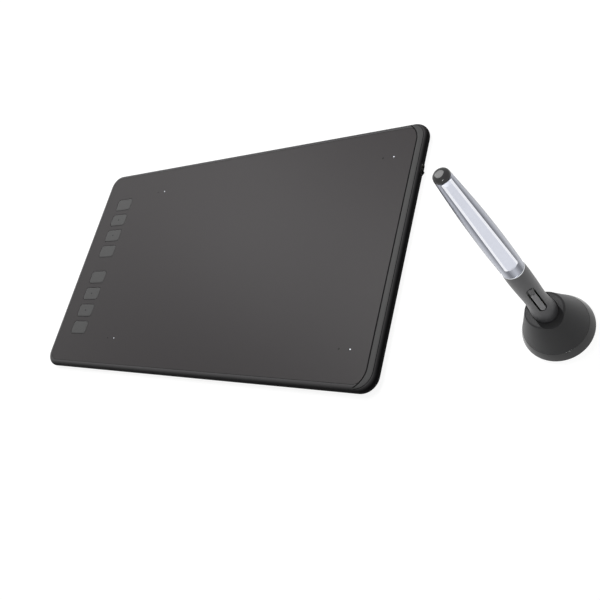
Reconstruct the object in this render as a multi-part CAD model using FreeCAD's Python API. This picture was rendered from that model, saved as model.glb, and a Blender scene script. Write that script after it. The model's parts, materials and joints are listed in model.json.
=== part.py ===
import FreeCAD, Part
import math
import os

# A pen tablet with eight press keys, and its pen standing in a weighted pen stand.
# Millimetres. Z is up, the desk is at z = 0, the keys are on the left, the user sits at -Y.

# Active area, and what lies between it and the edges of the case
active_width = 254.0
active_depth = 152.4
active_side_inset = 28.8
active_right_inset = 23.8
active_to_keys = 57.2
keys_left_inset = 35.0

# Tablet case
case_thick = 9.0
case_corner = 13.0
rim_flat = 0.2
side_wall = 1.6
floor_thick = 1.6
plate_thick = 1.8
lip_height = 0.8
lip_thick = 0.9
lip_root = 1.5
inner_round_share = 0.9

# Clearances
running_gap = 0.1
press_gap = 0.02
seam_gap = 0.15
groove_gap = 0.35
key_gap = 0.35
socket_gap = 0.3
same_place = 1e-4

# Rubber feet under the case
foot_height = 1.0
foot_sunk = 0.6
foot_length = 26.0
foot_width = 9.0
foot_inset_x = 34.0
foot_inset_y = 16.0

# Drawing sheet and the strip beside it
sheet_thick = 0.4
glue_thick = 0.1
sheet_left_inset = 6.0
sheet_right_inset = 8.0
sheet_side_inset = 4.7
sheet_corner = 9.0
strip_outer_inset = 3.5
strip_side_inset = 2.6
strip_corner = 12.0
strip_sweep_corner = 17.0
strip_depth = 0.7

# Corner marks of the active area, each a light pipe over a lamp
pipe_radius = 0.5
lamp_length = 1.6
lamp_width = 0.8
lamp_height = 0.45
lamp_pocket = 0.5

# Press keys
key_count = 8
key_length = 22.0
key_width = 12.5
key_corner = 3.0
key_first_y = 14.15
key_end_inset = 9.22
key_proud = 0.3
key_edge = 0.35
key_travel = 0.5
key_flange = 0.8
key_flange_rim = 1.0
key_nub_radius = 1.0
key_dot_radius = 0.6
key_dot_height = 0.2
dotted_keys = (2, 3, 6, 7)

# Key board under the keys
board_thick = 1.0
board_corner = 1.5
key_board_width = 26.0
key_board_margin = 14.0
key_board_post = 1.6
dome_sheet_thick = 0.15
dome_radius = 2.5
dome_height = 0.3

# Sensor board, its steel shield and the foam that holds them up
sensor_margin = 7.0
sensor_thick = 0.8
sensor_corner = 2.0
shield_inset = 8.0
shield_thick = 0.3
foam_thick = 0.5
foam_width = 3.0
rib_width = 2.0
rib_count = 4
rib_pitch = 36.0
rib_end_left = 8.0
rib_end_right = 11.8

# Main board with the cable socket
main_length = 46.0
main_width = 36.0
main_post = 0.8
main_edge_gap = 4.0
port_back_inset = 40.4
socket_width = 7.5
socket_height = 2.6
socket_depth = 5.6
socket_wall = 0.3
socket_back = 0.6
tongue_width = 3.6
tongue_thick = 0.6
tongue_length = 4.0
port_lip = 0.8
port_lip_depth = 2.2
port_lip_proud = 0.5
port_corner_share = 0.6
plug_room = 0.3
chip_sizes = ((9.0, 9.0, 1.0), (5.0, 4.0, 0.9), (3.2, 2.5, 0.8))
chip_pitch = 11.0
link_length = 22.0
link_width = 5.0
link_inset = 0.5

# Flat ribbon between the key board and the sensor board
ribbon_width = 12.0
ribbon_thick = 0.15
ribbon_socket_depth = 4.0
ribbon_socket_height = 1.0
ribbon_level = 0.4
ribbon_straight_share = 0.15

# Screws
screw_radius = 1.0
screw_head_radius = 1.9
screw_head_height = 1.2
screw_length = 5.0
screw_play = 0.12
screw_slot_width = 0.4
screw_slot_depth = 0.4
boss_wall = 1.6
case_screw_inset = 11.0
case_screw_columns = 4
board_screw_length = 2.0
board_screw_head = 0.8

# Pen stand
stand_gap = 87.9
stand_y = -55.0
stand_turn = 40.0
pad_thick = 0.8
pad_sunk = 0.5
pad_inset = 1.6
pad_hole = 4.0
edge_height = 3.9
edge_seam = 0.12
foot_bevel = 3.5
band_height = 5.5
band_wall = 1.2
band_flare = 2.1
band_top_radius = 18.5
stand_top_round = 1.4
stand_wall = 2.0
socket_rim = 3.72
socket_nose_gap = 0.75
socket_mouth_drop = 1.5
tube_wall = 1.5
tube_floor = 0.9
tube_clear = 1.6
plug_height = 2.6
tray_thick = 3.2
tray_floor = 0.3
nib_circle = 10.0
tray_rim = 1.2
spare_count = 8
weight_gap = 0.6
weight_inset = 5.9
puller_radius = 3.0
puller_thick = 1.0
rest_depth = 2.4

# Pen, outside: lengths along it and radii
nib_length = 10.0
nib_radius = 0.85
nib_travel = 0.5
nib_show = 2.1
nose_length = 10.6
nose_tip_radius = 1.7
nose_end_radius = 5.3
flare_length = 8.0
flare_radius = 6.98
flare_sunk = 0.4
waist_length = 9.0
waist_radius = 6.25
grip_radius = 6.0
grip_settle = 16.0
grip_length = 60.6
trim_height = 0.7
barrel_length = 84.2
barrel_radius = 5.95
taper_length = 58.8
taper_mid_length = 32.8
taper_mid_radius = 5.4
taper_late_length = 13.8
taper_late_radius = 4.55
barrel_end_radius = 3.8
cap_height = 2.5
cap_top_radius = 2.2
cap_shape = ((0.16, 0.45), (0.5, 0.82))
pen_wall = 1.3
barrel_end_wall = 0.8
spigot_length = 6.4
spigot_wall = 1.1

# Pen, inside
holder_radius = 1.5
holder_sleeve = 3.5
holder_length = 14.6
ferrite_radius = 2.6
ferrite_length = 13.0
ferrite_lead = 0.8
coil_radius = 3.3
coil_inset = 1.6
sensor_unit_radius = 3.4
sensor_unit_length = 5.0
pen_board_side_gap = 0.9
pen_board_thick = 0.8
pen_board_y = 0.5
pen_board_lead = 1.6
pen_board_tail = 4.6
switch_size = 3.0
switch_height = 1.5
switch_reach = 7.5

# Side switch
slot_lead = 10.6
slot_length = 26.9
slot_width = 4.7
rocker_gap_end = 0.3
rocker_gap_side = 0.65
rocker_proud = 0.35
rocker_step = 7.0
rocker_step_depth = 0.55
rocker_drop = 1.7
rocker_flange_side_gap = 2.2
rocker_flange_thick = 0.5
rocker_flange_reach = 5.0
rocker_nub = 1.2
rocker_nub_gap = 0.45
cradle_width = 3.0
cradle_length = 1.0
cradle_gap = 0.05

# Pocket clip
clip_length = 74.0
clip_mid_length = 36.8
clip_top_width = 4.7
clip_mid_width = 6.3
clip_end_width = 7.1
clip_thick = 1.1
clip_top_rise = 1.1
clip_end_rise = 2.05
clip_bevel = 0.45
clip_bump_lead = 4.7
clip_bump_radius = 1.2
clip_foot_width = 2.6
clip_foot_length = 5.5

# Case sizes that follow from the active area
case_length = keys_left_inset + active_to_keys + active_width + active_right_inset
case_depth = active_depth + 2 * active_side_inset
rim_radius = case_thick / 2 - rim_flat
half_length = case_length / 2
half_depth = case_depth / 2
key_x = -half_length + keys_left_inset
key_reach = active_depth / 2 - key_end_inset
key_pitch = (key_reach - key_first_y) / (key_count // 2 - 1)
active_centre_x = half_length - active_right_inset - active_width / 2
port_y = half_depth - port_back_inset

# Levels of the tablet that follow from the sizes above
case_bottom = foot_height
case_top = case_bottom + case_thick
split_level = case_bottom + case_thick / 2
floor_level = case_bottom + floor_thick
ceiling = case_top - plate_thick
sheet_bottom = case_top - sheet_thick
pocket_bottom = sheet_bottom - glue_thick
sensor_top = ceiling - running_gap
sensor_bottom = sensor_top - sensor_thick
shield_bottom = sensor_bottom - shield_thick
rib_top = shield_bottom - foam_thick
key_board_bottom = floor_level + key_board_post
key_board_top = key_board_bottom + board_thick
flange_top = ceiling - running_gap
flange_bottom = flange_top - key_flange
dome_top = key_board_top + dome_sheet_thick + dome_height
main_bottom = floor_level + main_post
main_top = main_bottom + board_thick
port_level = main_top + socket_height / 2
sheet_left = -half_length + sheet_left_inset
sheet_right = half_length - sheet_right_inset
sheet_side = half_depth - sheet_side_inset
case_span = ((-half_length, half_length), (-half_depth, half_depth))
sheet_span = ((sheet_left, sheet_right), (-sheet_side, sheet_side))

# Radii of the stand that follow from its band, its socket and its foot
stand_radius = band_top_radius + band_flare
stand_foot_radius = stand_radius - foot_bevel
pad_radius = stand_foot_radius - pad_inset
skirt_radius = band_top_radius - band_wall
stand_top_radius = flare_radius + socket_rim
stand_x = half_length + stand_gap + stand_radius

# Heights of the pen and its stand above the desk
band_top = edge_height + band_height
plug_top = edge_height + plug_height
tube_bottom = plug_top + tube_clear
pen_tip = tube_bottom + tube_floor + socket_gap
nose_start = pen_tip + nib_show
nose_end = nose_start + nose_length
flare_height = nose_end + flare_length
waist_height = flare_height + waist_length
grip_end = nose_end + grip_length
barrel_end = grip_end + barrel_length
cap_end = barrel_end + cap_height
stand_height = flare_height + flare_sunk
weight_top = stand_height - weight_inset
cavity_top = weight_top + weight_gap
spare_nib_bottom = plug_top + tray_floor

# Places inside the pen
bore_radius = grip_radius - pen_wall
barrel_bore = barrel_end_radius - barrel_end_wall
spigot_radius = barrel_radius - pen_wall
nose_spigot_end = nose_end + spigot_length / 2
nib_end = pen_tip + nib_length
holder_start = nib_end - holder_sleeve
holder_end = holder_start + holder_length
ferrite_start = holder_start + ferrite_lead
ferrite_end = ferrite_start + ferrite_length
sensor_unit_bottom = holder_end + nib_travel + press_gap
sensor_unit_top = sensor_unit_bottom + sensor_unit_length
pen_board_start = sensor_unit_top + pen_board_lead
pen_board_end = grip_end - pen_board_tail
slot_start = flare_height + slot_lead
slot_end = slot_start + slot_length
rocker_middle = (slot_start + slot_end) / 2
rocker_root = bore_radius - rocker_drop
clip_start = barrel_end - clip_length

# The origin is the middle of the whole set, so the tablet stands left of it
tablet_x = -(stand_x + stand_radius - half_length) / 2


def point(x, y, z):
    return FreeCAD.Vector(x, y, z)


def grown(span, by):
    """Spans in X and Y made larger all round, or smaller when by is negative."""
    return tuple((low - by, high + by) for low, high in span)


def corner_arc(centre, radius, start):
    """Quarter circle about a centre, from one angle on."""
    on_arc = []
    for turn in (0, math.pi / 4, math.pi / 2):
        angle = start + turn
        on_arc.append(centre + point(radius * math.cos(angle), radius * math.sin(angle), 0))
    return Part.Arc(*on_arc)


def rounded_plate(span, corner, bottom, top):
    """Flat plate with rounded corners between two heights."""
    (x_low, x_high), (y_low, y_high) = grown(span, -corner)
    centres = ((x_high, y_low), (x_high, y_high), (x_low, y_high), (x_low, y_low))
    arcs = []
    for index, (x, y) in enumerate(centres):
        arcs.append(corner_arc(point(x, y, bottom), corner, math.pi / 2 * (index - 1)))
    edges = []
    for arc, following in zip(arcs, arcs[1:] + arcs[:1]):
        edges.append(arc.toShape())
        if (arc.EndPoint - following.StartPoint).Length > same_place:
            edges.append(Part.makeLine(arc.EndPoint, following.StartPoint))
    return Part.Face(Part.Wire(edges)).extrude(point(0, 0, top - bottom))


def box(x, y, z):
    """Box from three spans."""
    return Part.makeBox(x[1] - x[0], y[1] - y[0], z[1] - z[0], point(x[0], y[0], z[0]))


def cylinder(radius, bottom, top, x=0.0, y=0.0):
    return Part.makeCylinder(radius, top - bottom, point(x, y, bottom))


def tube(inner, outer, bottom, top):
    return cylinder(outer, bottom, top).cut(cylinder(inner, bottom, top))


def turned(profile):
    """Solid of revolution about Z from (radius, height) points."""
    points = [point(radius, 0, height) for radius, height in profile]
    face = Part.Face(Part.makePolygon(points + points[:1]))
    return face.revolve(point(0, 0, 0), point(0, 0, 1), 360)


def rounded_at(solid, level, radius):
    """Round the edges that lie flat at one height."""
    edges = []
    for edge in solid.Edges:
        bounds = edge.BoundBox
        if abs(bounds.ZMin - level) < same_place and abs(bounds.ZMax - level) < same_place:
            edges.append(edge)
    return solid.makeFillet(radius, edges)


def key_places():
    """Number and Y of each key, counted from the back."""
    half = key_count // 2
    steps = [key_first_y + key_pitch * index for index in range(half)]
    return list(enumerate(sorted(steps + [-y for y in steps], reverse=True), start=1))


def mark_places():
    """Centres of the four lit marks at the corners of the active area."""
    return [
        (active_centre_x + side * active_width / 2, end * active_depth / 2)
        for side in (-1, 1)
        for end in (-1, 1)
    ]


def case_screw_places():
    x_far = half_length - case_screw_inset
    y_far = half_depth - case_screw_inset
    step = 2 * x_far / (case_screw_columns - 1)
    columns = [-x_far + step * index for index in range(case_screw_columns)]
    return [(x, side * y_far) for x in columns for side in (-1, 1)]


def foot_places():
    x_far = half_length - foot_inset_x
    y_far = half_depth - foot_inset_y
    return [(side * x_far, end * y_far) for side in (-1, 1) for end in (-1, 1)]


def key_board_span():
    reach = key_reach + key_board_margin
    half = key_board_width / 2
    return (key_x - half, key_x + half), (-reach, reach)


def key_board_screw_places():
    reach = key_board_span()[1][1] - screw_head_radius - key_gap * 2
    return [(key_x, y) for y in (-reach, 0.0, reach)]


def sensor_span():
    active = (
        (active_centre_x - active_width / 2, active_centre_x + active_width / 2),
        (-active_depth / 2, active_depth / 2),
    )
    return grown(active, sensor_margin)


def main_span():
    right = half_length - main_edge_gap
    return (right - main_length, right), (port_y - main_width / 2, port_y + main_width / 2)


def main_screw_places():
    (left, right), (front, back) = main_span()
    inset = screw_head_radius + key_gap * 2
    return [(left + inset, front + inset), (left + inset, back - inset)]


def rib_places():
    """Y of each support rib under the sensor board."""
    first = -rib_pitch * (rib_count - 1) / 2
    return [first + rib_pitch * index for index in range(rib_count)]


def rib_span():
    return sensor_span()[0][0] + rib_end_left, main_span()[0][0] - rib_end_right


def foot_plate(grow, bottom, top, x, y):
    half_long = foot_length / 2 + grow
    half_wide = foot_width / 2 + grow
    span = ((x - half_long, x + half_long), (y - half_wide, y + half_wide))
    return rounded_plate(span, half_wide, bottom, top)


def port_hole(grow, depth):
    """The round-cornered way in for the cable plug, along X, from a depth behind the case's side."""
    half_wide = socket_width / 2 + plug_room + grow
    half_high = socket_height / 2 + plug_room + grow
    span = ((-half_high, half_high), (-half_wide, half_wide))
    upright = rounded_plate(span, half_high * port_corner_share, 0, depth + port_lip_proud)
    upright.rotate(point(0, 0, 0), point(0, 1, 0), 90)
    upright.translate(point(half_length - depth, port_y, port_level))
    return upright


def port_cut():
    """Opening for the socket's lip through the wall and the overlap lip behind it."""
    return port_hole(port_lip + running_gap, side_wall + seam_gap + lip_thick + running_gap)


def outer_half(bottom, top, rounded_level):
    """Half of the case's outer form, rounded along its outer edge."""
    return rounded_at(rounded_plate(case_span, case_corner, bottom, top), rounded_level, rim_radius)


def inner_half(bottom, top, rounded_level):
    """Room inside that half, with the walls taken off."""
    inner_corner = case_corner - side_wall
    room = rounded_plate(grown(case_span, -side_wall), inner_corner, bottom, top)
    inner_round = min(rim_radius - side_wall, (top - bottom) * inner_round_share)
    return rounded_at(room, rounded_level, inner_round)


def lip_ring(outer_inset, inner_inset, bottom, top):
    outer = rounded_plate(grown(case_span, -outer_inset), case_corner - outer_inset, bottom, top)
    inner = rounded_plate(grown(case_span, -inner_inset), case_corner - inner_inset, bottom, top)
    return outer.cut(inner)


def rear_shell():
    """Lower half of the case with ribs, posts and screw holes."""
    shell = outer_half(case_bottom, split_level, case_bottom)
    shell = shell.cut(inner_half(floor_level, split_level, floor_level))
    lip_inner = side_wall + seam_gap + lip_thick
    added = [
        lip_ring(side_wall, lip_inner, split_level - lip_root, split_level),
        lip_ring(side_wall + seam_gap, lip_inner, split_level, split_level + lip_height),
    ]
    left, right = rib_span()
    for y in rib_places():
        added.append(box((left, right), (y - rib_width / 2, y + rib_width / 2), (floor_level, rib_top)))
    post_radius = screw_radius + boss_wall
    for x, y in case_screw_places():
        added.append(cylinder(post_radius, floor_level, split_level - lip_height, x, y))
    for x, y in key_board_screw_places():
        added.append(cylinder(post_radius, floor_level, key_board_bottom, x, y))
    for x, y in main_screw_places():
        added.append(cylinder(post_radius, floor_level, main_bottom, x, y))
    shell = shell.fuse(added)
    cuts = [port_cut()]
    for x, y in case_screw_places():
        head_top = case_bottom + screw_head_height
        cuts.append(cylinder(screw_radius + screw_play, case_bottom, split_level, x, y))
        cuts.append(cylinder(screw_head_radius + screw_play, case_bottom, head_top, x, y))
    for x, y in key_board_screw_places() + main_screw_places():
        cuts.append(cylinder(screw_radius + press_gap, floor_level - floor_thick / 2, split_level, x, y))
    for x, y in foot_places():
        cuts.append(foot_plate(running_gap, case_bottom, case_bottom + foot_sunk, x, y))
    return shell.cut(cuts).removeSplitter()


def sheet_pocket(grow, bottom, top):
    return rounded_plate(grown(sheet_span, grow), sheet_corner + grow, bottom, top)


def strip_form(grow, bottom, top):
    """The crescent-ended strip between the sheet and the right edge, seen from above."""
    outer_x = half_length - strip_outer_inset + grow
    outer_y = half_depth - strip_side_inset + grow
    outer = rounded_plate(((0, outer_x), (-outer_y, outer_y)), strip_corner + grow, bottom, top)
    inner_x = sheet_right + groove_gap - grow
    inner_y = half_depth - grow
    sweep = strip_sweep_corner - grow
    inner = rounded_plate(((-inner_x, inner_x), (-inner_y, inner_y)), sweep, bottom, top)
    return outer.cut([inner, sheet_pocket(groove_gap - grow, bottom, top)])


def key_hole(grow, bottom, top, y):
    half_long = key_length / 2 + grow
    half_wide = key_width / 2 + grow
    span = ((key_x - half_long, key_x + half_long), (y - half_wide, y + half_wide))
    return rounded_plate(span, key_corner + grow, bottom, top)


def top_cover():
    """Upper half of the case, pocketed for the sheet and the strip and pierced for the keys."""
    cover = outer_half(split_level, case_top, case_top)
    cover = cover.cut(inner_half(split_level, ceiling, ceiling))
    boss_radius = screw_radius + boss_wall
    boss_bottom = split_level - lip_height + seam_gap
    bosses = [cylinder(boss_radius, boss_bottom, ceiling + press_gap, x, y) for x, y in case_screw_places()]
    cover = cover.fuse(bosses)
    cuts = [
        sheet_pocket(seam_gap, pocket_bottom, case_top),
        strip_form(seam_gap, case_top - strip_depth, case_top),
        port_cut(),
    ]
    for _, y in key_places():
        cuts.append(key_hole(key_gap, ceiling, case_top, y))
    for x, y in case_screw_places():
        cuts.append(cylinder(screw_radius + press_gap, boss_bottom, ceiling, x, y))
    for x, y in mark_places():
        cuts.append(cylinder(pipe_radius + press_gap, ceiling, case_top, x, y))
        half_long = lamp_length / 2 + seam_gap
        half_wide = lamp_width / 2 + seam_gap
        cuts.append(box((x - half_long, x + half_long), (y - half_wide, y + half_wide),
                        (ceiling, ceiling + lamp_pocket)))
    return cover.cut(cuts).removeSplitter()


def side_strip():
    """Inlaid strip whose top follows the rounded rim."""
    strip = strip_form(0, case_top - strip_depth, case_top)
    rim = outer_half(split_level, case_top, case_top)
    return strip.common(rim)


def sheet_layer(bottom, top):
    layer = sheet_pocket(0, bottom, top)
    holes = [key_hole(key_gap, bottom, top, y) for _, y in key_places()]
    holes += [cylinder(pipe_radius + press_gap, bottom, top, x, y) for x, y in mark_places()]
    return layer.cut(holes)


def press_key(number, y):
    """Key cap with its holding flange, and the nub that presses the dome below it."""
    cap = key_hole(0, flange_top - key_flange / 2, case_top + key_proud, y)
    cap = rounded_at(cap, case_top + key_proud, key_edge)
    flange = key_hole(key_flange_rim, flange_bottom, flange_top, y)
    nub = cylinder(key_nub_radius, dome_top + key_travel + press_gap, flange_bottom, key_x, y)
    key = cap.fuse([flange, nub])
    if number in dotted_keys:
        dot_top = case_top + key_proud + key_dot_height
        key = key.fuse(cylinder(key_dot_radius, case_top, dot_top, key_x, y))
    return key.removeSplitter()


def key_board():
    board = rounded_plate(key_board_span(), board_corner, key_board_bottom, key_board_top)
    holes = [
        cylinder(screw_radius + screw_play, key_board_bottom, key_board_top, x, y)
        for x, y in key_board_screw_places()
    ]
    return board.cut(holes)


def dome_sheet():
    """Thin sheet with one snap dome under each key."""
    half = dome_radius + key_gap * 2
    reach = key_board_span()[1][1] - 2 * (screw_head_radius + key_gap * 2)
    base = key_board_top + dome_sheet_thick
    sheet = box((key_x - half, key_x + half), (-reach, reach), (key_board_top, base))
    domes = []
    for _, y in key_places():
        domes.append(Part.makeCone(dome_radius, dome_radius / 2, dome_height, point(key_x, y, base)))
    sheet = sheet.fuse(domes)
    window = screw_head_radius + key_gap
    return sheet.cut(cylinder(window, key_board_top, dome_top, key_x, 0)).removeSplitter()


def ribbon_ends():
    """X where the ribbon leaves its socket on the key board and where it enters the other."""
    start = key_board_span()[0][1] - running_gap
    end = sensor_span()[0][0] + ribbon_socket_depth / 2
    return start, end


def ribbon_sockets():
    start, end = ribbon_ends()
    half = ribbon_width / 2 + 1
    low = box((start - ribbon_socket_depth, start), (-half, half),
              (key_board_top, key_board_top + ribbon_socket_height))
    high = box((end, end + ribbon_socket_depth), (-half, half),
               (sensor_bottom - ribbon_socket_height, sensor_bottom))
    return [low, high]


def key_ribbon():
    """Flat ribbon that climbs from the key board to the sensor board."""
    start, end = ribbon_ends()
    low = key_board_top + ribbon_level
    high = sensor_bottom - ribbon_level - ribbon_thick
    straight = (end - start) * ribbon_straight_share
    path = ((start, low), (start + straight, low), (end - straight, high), (end, high))
    lower = [point(x, -ribbon_width / 2, z) for x, z in path]
    upper = [point(x, -ribbon_width / 2, z + ribbon_thick) for x, z in reversed(path)]
    face = Part.Face(Part.makePolygon(lower + upper + lower[:1]))
    return face.extrude(point(0, ribbon_width, 0))


def sensor_board():
    return rounded_plate(sensor_span(), sensor_corner, sensor_bottom, sensor_top)


def shield_plate():
    return rounded_plate(grown(sensor_span(), -shield_inset), sensor_corner, shield_bottom, sensor_bottom)


def foam_strips():
    left, right = rib_span()
    half = foam_width / 2
    return [box((left, right), (y - half, y + half), (rib_top, shield_bottom)) for y in rib_places()]


def corner_lamps():
    half_long = lamp_length / 2
    half_wide = lamp_width / 2
    return [
        box((x - half_long, x + half_long), (y - half_wide, y + half_wide),
            (sensor_top, sensor_top + lamp_height))
        for x, y in mark_places()
    ]


def light_pipes():
    bottom = ceiling + lamp_pocket
    return [cylinder(pipe_radius, bottom, case_top, x, y) for x, y in mark_places()]


def main_board():
    board = rounded_plate(main_span(), board_corner, main_bottom, main_top)
    hole_radius = screw_radius + screw_play
    return board.cut([cylinder(hole_radius, main_bottom, main_top, x, y) for x, y in main_screw_places()])


def link_span():
    """X of the stacking connector, which stands beside the shield."""
    right = sensor_span()[0][1] - link_inset
    return right - link_width, right


def controller_chips():
    """Chips in a slanting row between the main board's left edge and the stacking connector."""
    left = main_span()[0][0]
    step = (link_span()[0] - left) / (len(chip_sizes) + 2)
    chips = []
    for index, (length, width, height) in enumerate(chip_sizes):
        x = left + step * (index + 2)
        y = port_y + chip_pitch * (index - 1)
        chips.append(box((x - length / 2, x + length / 2), (y - width / 2, y + width / 2),
                         (main_top, main_top + height)))
    return chips


def board_link():
    """Stacking connector from the main board up to the sensor board."""
    half = link_length / 2
    middle = port_y - half / 2
    return box(link_span(), (middle - half, middle + half), (main_top, sensor_bottom))


def socket_block(width, height, x_low, x_high):
    return box((x_low, x_high), (port_y - width / 2, port_y + width / 2),
               (port_level - height / 2, port_level + height / 2))


def usb_shell():
    mouth = half_length - port_lip_proud
    block = socket_block(socket_width, socket_height, mouth - socket_depth, mouth)
    room = socket_block(socket_width - 2 * socket_wall, socket_height - 2 * socket_wall,
                        mouth - socket_depth + socket_back, mouth)
    return block.cut(room)


def usb_tongue():
    back = half_length - port_lip_proud - socket_depth + socket_back
    return socket_block(tongue_width, tongue_thick, back, back + tongue_length)


def port_rim():
    """Lip around the cable socket."""
    return port_hole(port_lip, port_lip_depth).cut(port_hole(0, port_lip_depth))


def rubber_feet():
    return [foot_plate(0, 0, case_bottom + foot_sunk - press_gap, x, y) for x, y in foot_places()]


def screw(x, y, head_bottom, head_height, length, upward):
    """Pan-head screw whose shank points up or down from its head."""
    head = cylinder(screw_head_radius, head_bottom, head_bottom + head_height, x, y)
    if upward:
        shank = cylinder(screw_radius, head_bottom, head_bottom + head_height + length, x, y)
    else:
        shank = cylinder(screw_radius, head_bottom - length, head_bottom + head_height, x, y)
    half = screw_slot_width / 2
    slot = box((x - screw_head_radius, x + screw_head_radius), (y - half, y + half), (0, screw_slot_depth))
    slot.translate(point(0, 0, head_bottom if upward else head_bottom + head_height - screw_slot_depth))
    return head.fuse(shank).cut(slot).removeSplitter()


def case_screws():
    length = screw_length - screw_head_height / 2
    return [screw(x, y, case_bottom, screw_head_height, length, True) for x, y in case_screw_places()]


def board_screws():
    screws = []
    for x, y in key_board_screw_places():
        screws.append(screw(x, y, key_board_top, board_screw_head, board_screw_length, False))
    for x, y in main_screw_places():
        screws.append(screw(x, y, main_top, board_screw_head, board_screw_length - main_post, False))
    return screws


def pen_profile():
    """Outer radius of the pen at each height, from the nose to the cap."""
    return (
        (nose_tip_radius, nose_start),
        (nose_end_radius, nose_end),
        (flare_radius, flare_height),
        (waist_radius, waist_height),
        (grip_radius, waist_height + grip_settle),
        (barrel_radius, grip_end),
        (barrel_radius, barrel_end - taper_length),
        (taper_mid_radius, barrel_end - taper_mid_length),
        (taper_late_radius, barrel_end - taper_late_length),
        (barrel_end_radius, barrel_end),
    )


def pen_curve(low, high):
    """Smooth edge through the profile between two of its heights."""
    through = [point(radius, 0, height) for radius, height in pen_profile() if low <= height <= high]
    curve = Part.BSplineCurve()
    curve.interpolate(through)
    return curve.toShape()


def pen_solid(low, high):
    """Solid of revolution under that edge."""
    edge = pen_curve(low, high)
    start = edge.Vertexes[0].Point
    end = edge.Vertexes[-1].Point
    lines = [
        Part.makeLine(end, point(0, 0, end.z)),
        Part.makeLine(point(0, 0, end.z), point(0, 0, start.z)),
        Part.makeLine(point(0, 0, start.z), start),
    ]
    face = Part.Face(Part.Wire([edge] + lines))
    return face.revolve(point(0, 0, 0), point(0, 0, 1), 360)


def socket_profile():
    """Pen socket in the stand: the nose's form with a running gap."""
    floor = pen_tip - socket_gap
    nib_hole = nib_radius + socket_gap
    return (
        (0, floor),
        (nib_hole, floor),
        (nib_hole, nose_start - socket_gap),
        (nose_tip_radius + socket_gap, nose_start - socket_gap),
        (nose_end_radius + socket_nose_gap, nose_end),
        (flare_radius + socket_gap, flare_height - socket_mouth_drop),
        (flare_radius + socket_gap, stand_height),
        (0, stand_height),
    )


def cone_radius(height):
    """Outer radius of the stand's cone at a height."""
    share = (height - band_top) / (stand_height - band_top)
    return band_top_radius + (stand_top_radius - band_top_radius) * share


def tube_radius(height):
    """Outer radius of the socket tube inside the cone at a height."""
    share = (height - nose_start) / (nose_end - nose_start)
    bore = nose_tip_radius + (nose_end_radius - nose_tip_radius) * share
    return bore + socket_nose_gap + tube_wall


def cavity_radius(height):
    return cone_radius(height) - stand_wall


def stand_cone():
    skirt_bottom = edge_height + edge_seam
    outer = turned((
        (0, skirt_bottom),
        (skirt_radius, skirt_bottom),
        (skirt_radius, band_top),
        (band_top_radius - seam_gap, band_top),
        (stand_top_radius, stand_height),
        (0, stand_height),
    ))
    outer = rounded_at(outer, stand_height, stand_top_round)
    hollow = turned((
        (0, skirt_bottom),
        (skirt_radius - stand_wall, skirt_bottom),
        (cavity_radius(band_top), band_top),
        (cavity_radius(cavity_top), cavity_top),
        (tube_radius(cavity_top), cavity_top),
        (tube_radius(nose_start), nose_start),
        (tube_radius(nose_start), tube_bottom),
        (0, tube_bottom),
    ))
    rest_radius = (flare_radius ** 2 + rest_depth ** 2) / (2 * rest_depth)
    rest = Part.makeCylinder(rest_radius, 2 * stand_radius, point(0, -stand_radius, 0), point(0, 1, 0))
    rest.translate(point(0, 0, stand_height - rest_depth + rest_radius))
    return outer.cut([hollow, turned(socket_profile()), rest]).removeSplitter()


def stand_band():
    """Glossy band around the skirt."""
    bottom = edge_height
    return turned((
        (skirt_radius + press_gap, bottom),
        (stand_radius, bottom),
        (band_top_radius, band_top - edge_seam),
        (skirt_radius + press_gap, band_top - edge_seam),
    ))


def stand_weight():
    """Steel ring pressed up inside the cone."""
    bottom = spare_nib_bottom + nib_length + weight_gap
    return turned((
        (tube_radius(bottom) + running_gap, bottom),
        (cavity_radius(bottom) - running_gap, bottom),
        (cavity_radius(weight_top) - running_gap, weight_top),
        (tube_radius(weight_top) + running_gap, weight_top),
    ))


def stand_base():
    """Twist-off bottom with a plug that closes the hollow cone."""
    lift = pad_thick - pad_sunk
    plug_radius = skirt_radius - stand_wall - running_gap
    base_top = edge_height - edge_seam
    base = turned((
        (0, lift),
        (stand_foot_radius, lift),
        (stand_radius - edge_seam, base_top),
        (plug_radius, base_top),
        (plug_radius, plug_top),
        (0, plug_top),
    ))
    pad_pocket = cylinder(pad_radius + running_gap, lift, pad_thick)
    puller_hole = cylinder(puller_radius + press_gap, lift, pad_thick + puller_thick)
    return base.cut([pad_pocket, puller_hole, cylinder(nib_radius + socket_gap, lift, edge_height)])


def stand_pad():
    return tube(pad_hole, pad_radius, 0, pad_thick)


def nib_puller():
    return tube(nib_radius + running_gap / 2, puller_radius, pad_thick, pad_thick + puller_thick)


def spare_places():
    places = []
    for index in range(spare_count):
        turn = 2 * math.pi * index / spare_count
        places.append((nib_circle * math.cos(turn), nib_circle * math.sin(turn)))
    return places


def nib_tray():
    top = plug_top + tray_thick
    tray = cylinder(nib_circle + nib_radius + tray_rim, plug_top, top)
    holes = [cylinder(tube_radius(nose_start) + socket_gap, tube_bottom - socket_gap, top)]
    for x, y in spare_places():
        holes.append(cylinder(nib_radius + running_gap / 2, spare_nib_bottom, top, x, y))
    return tray.cut(holes)


def nib(bottom):
    """Plastic nib with a rounded writing end, its tip at the given height."""
    straight = cylinder(nib_radius, bottom + nib_radius, bottom + nib_length)
    ball = Part.makeSphere(nib_radius, point(0, 0, bottom + nib_radius))
    return straight.fuse(ball).removeSplitter()


def spare_nibs():
    nibs = []
    for x, y in spare_places():
        spare = nib(spare_nib_bottom)
        spare.translate(point(x, y, 0))
        nibs.append(spare)
    return nibs


def nib_holder():
    rod = cylinder(holder_radius, holder_start, holder_end)
    return rod.cut(cylinder(nib_radius + press_gap, holder_start, nib_end))


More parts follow.
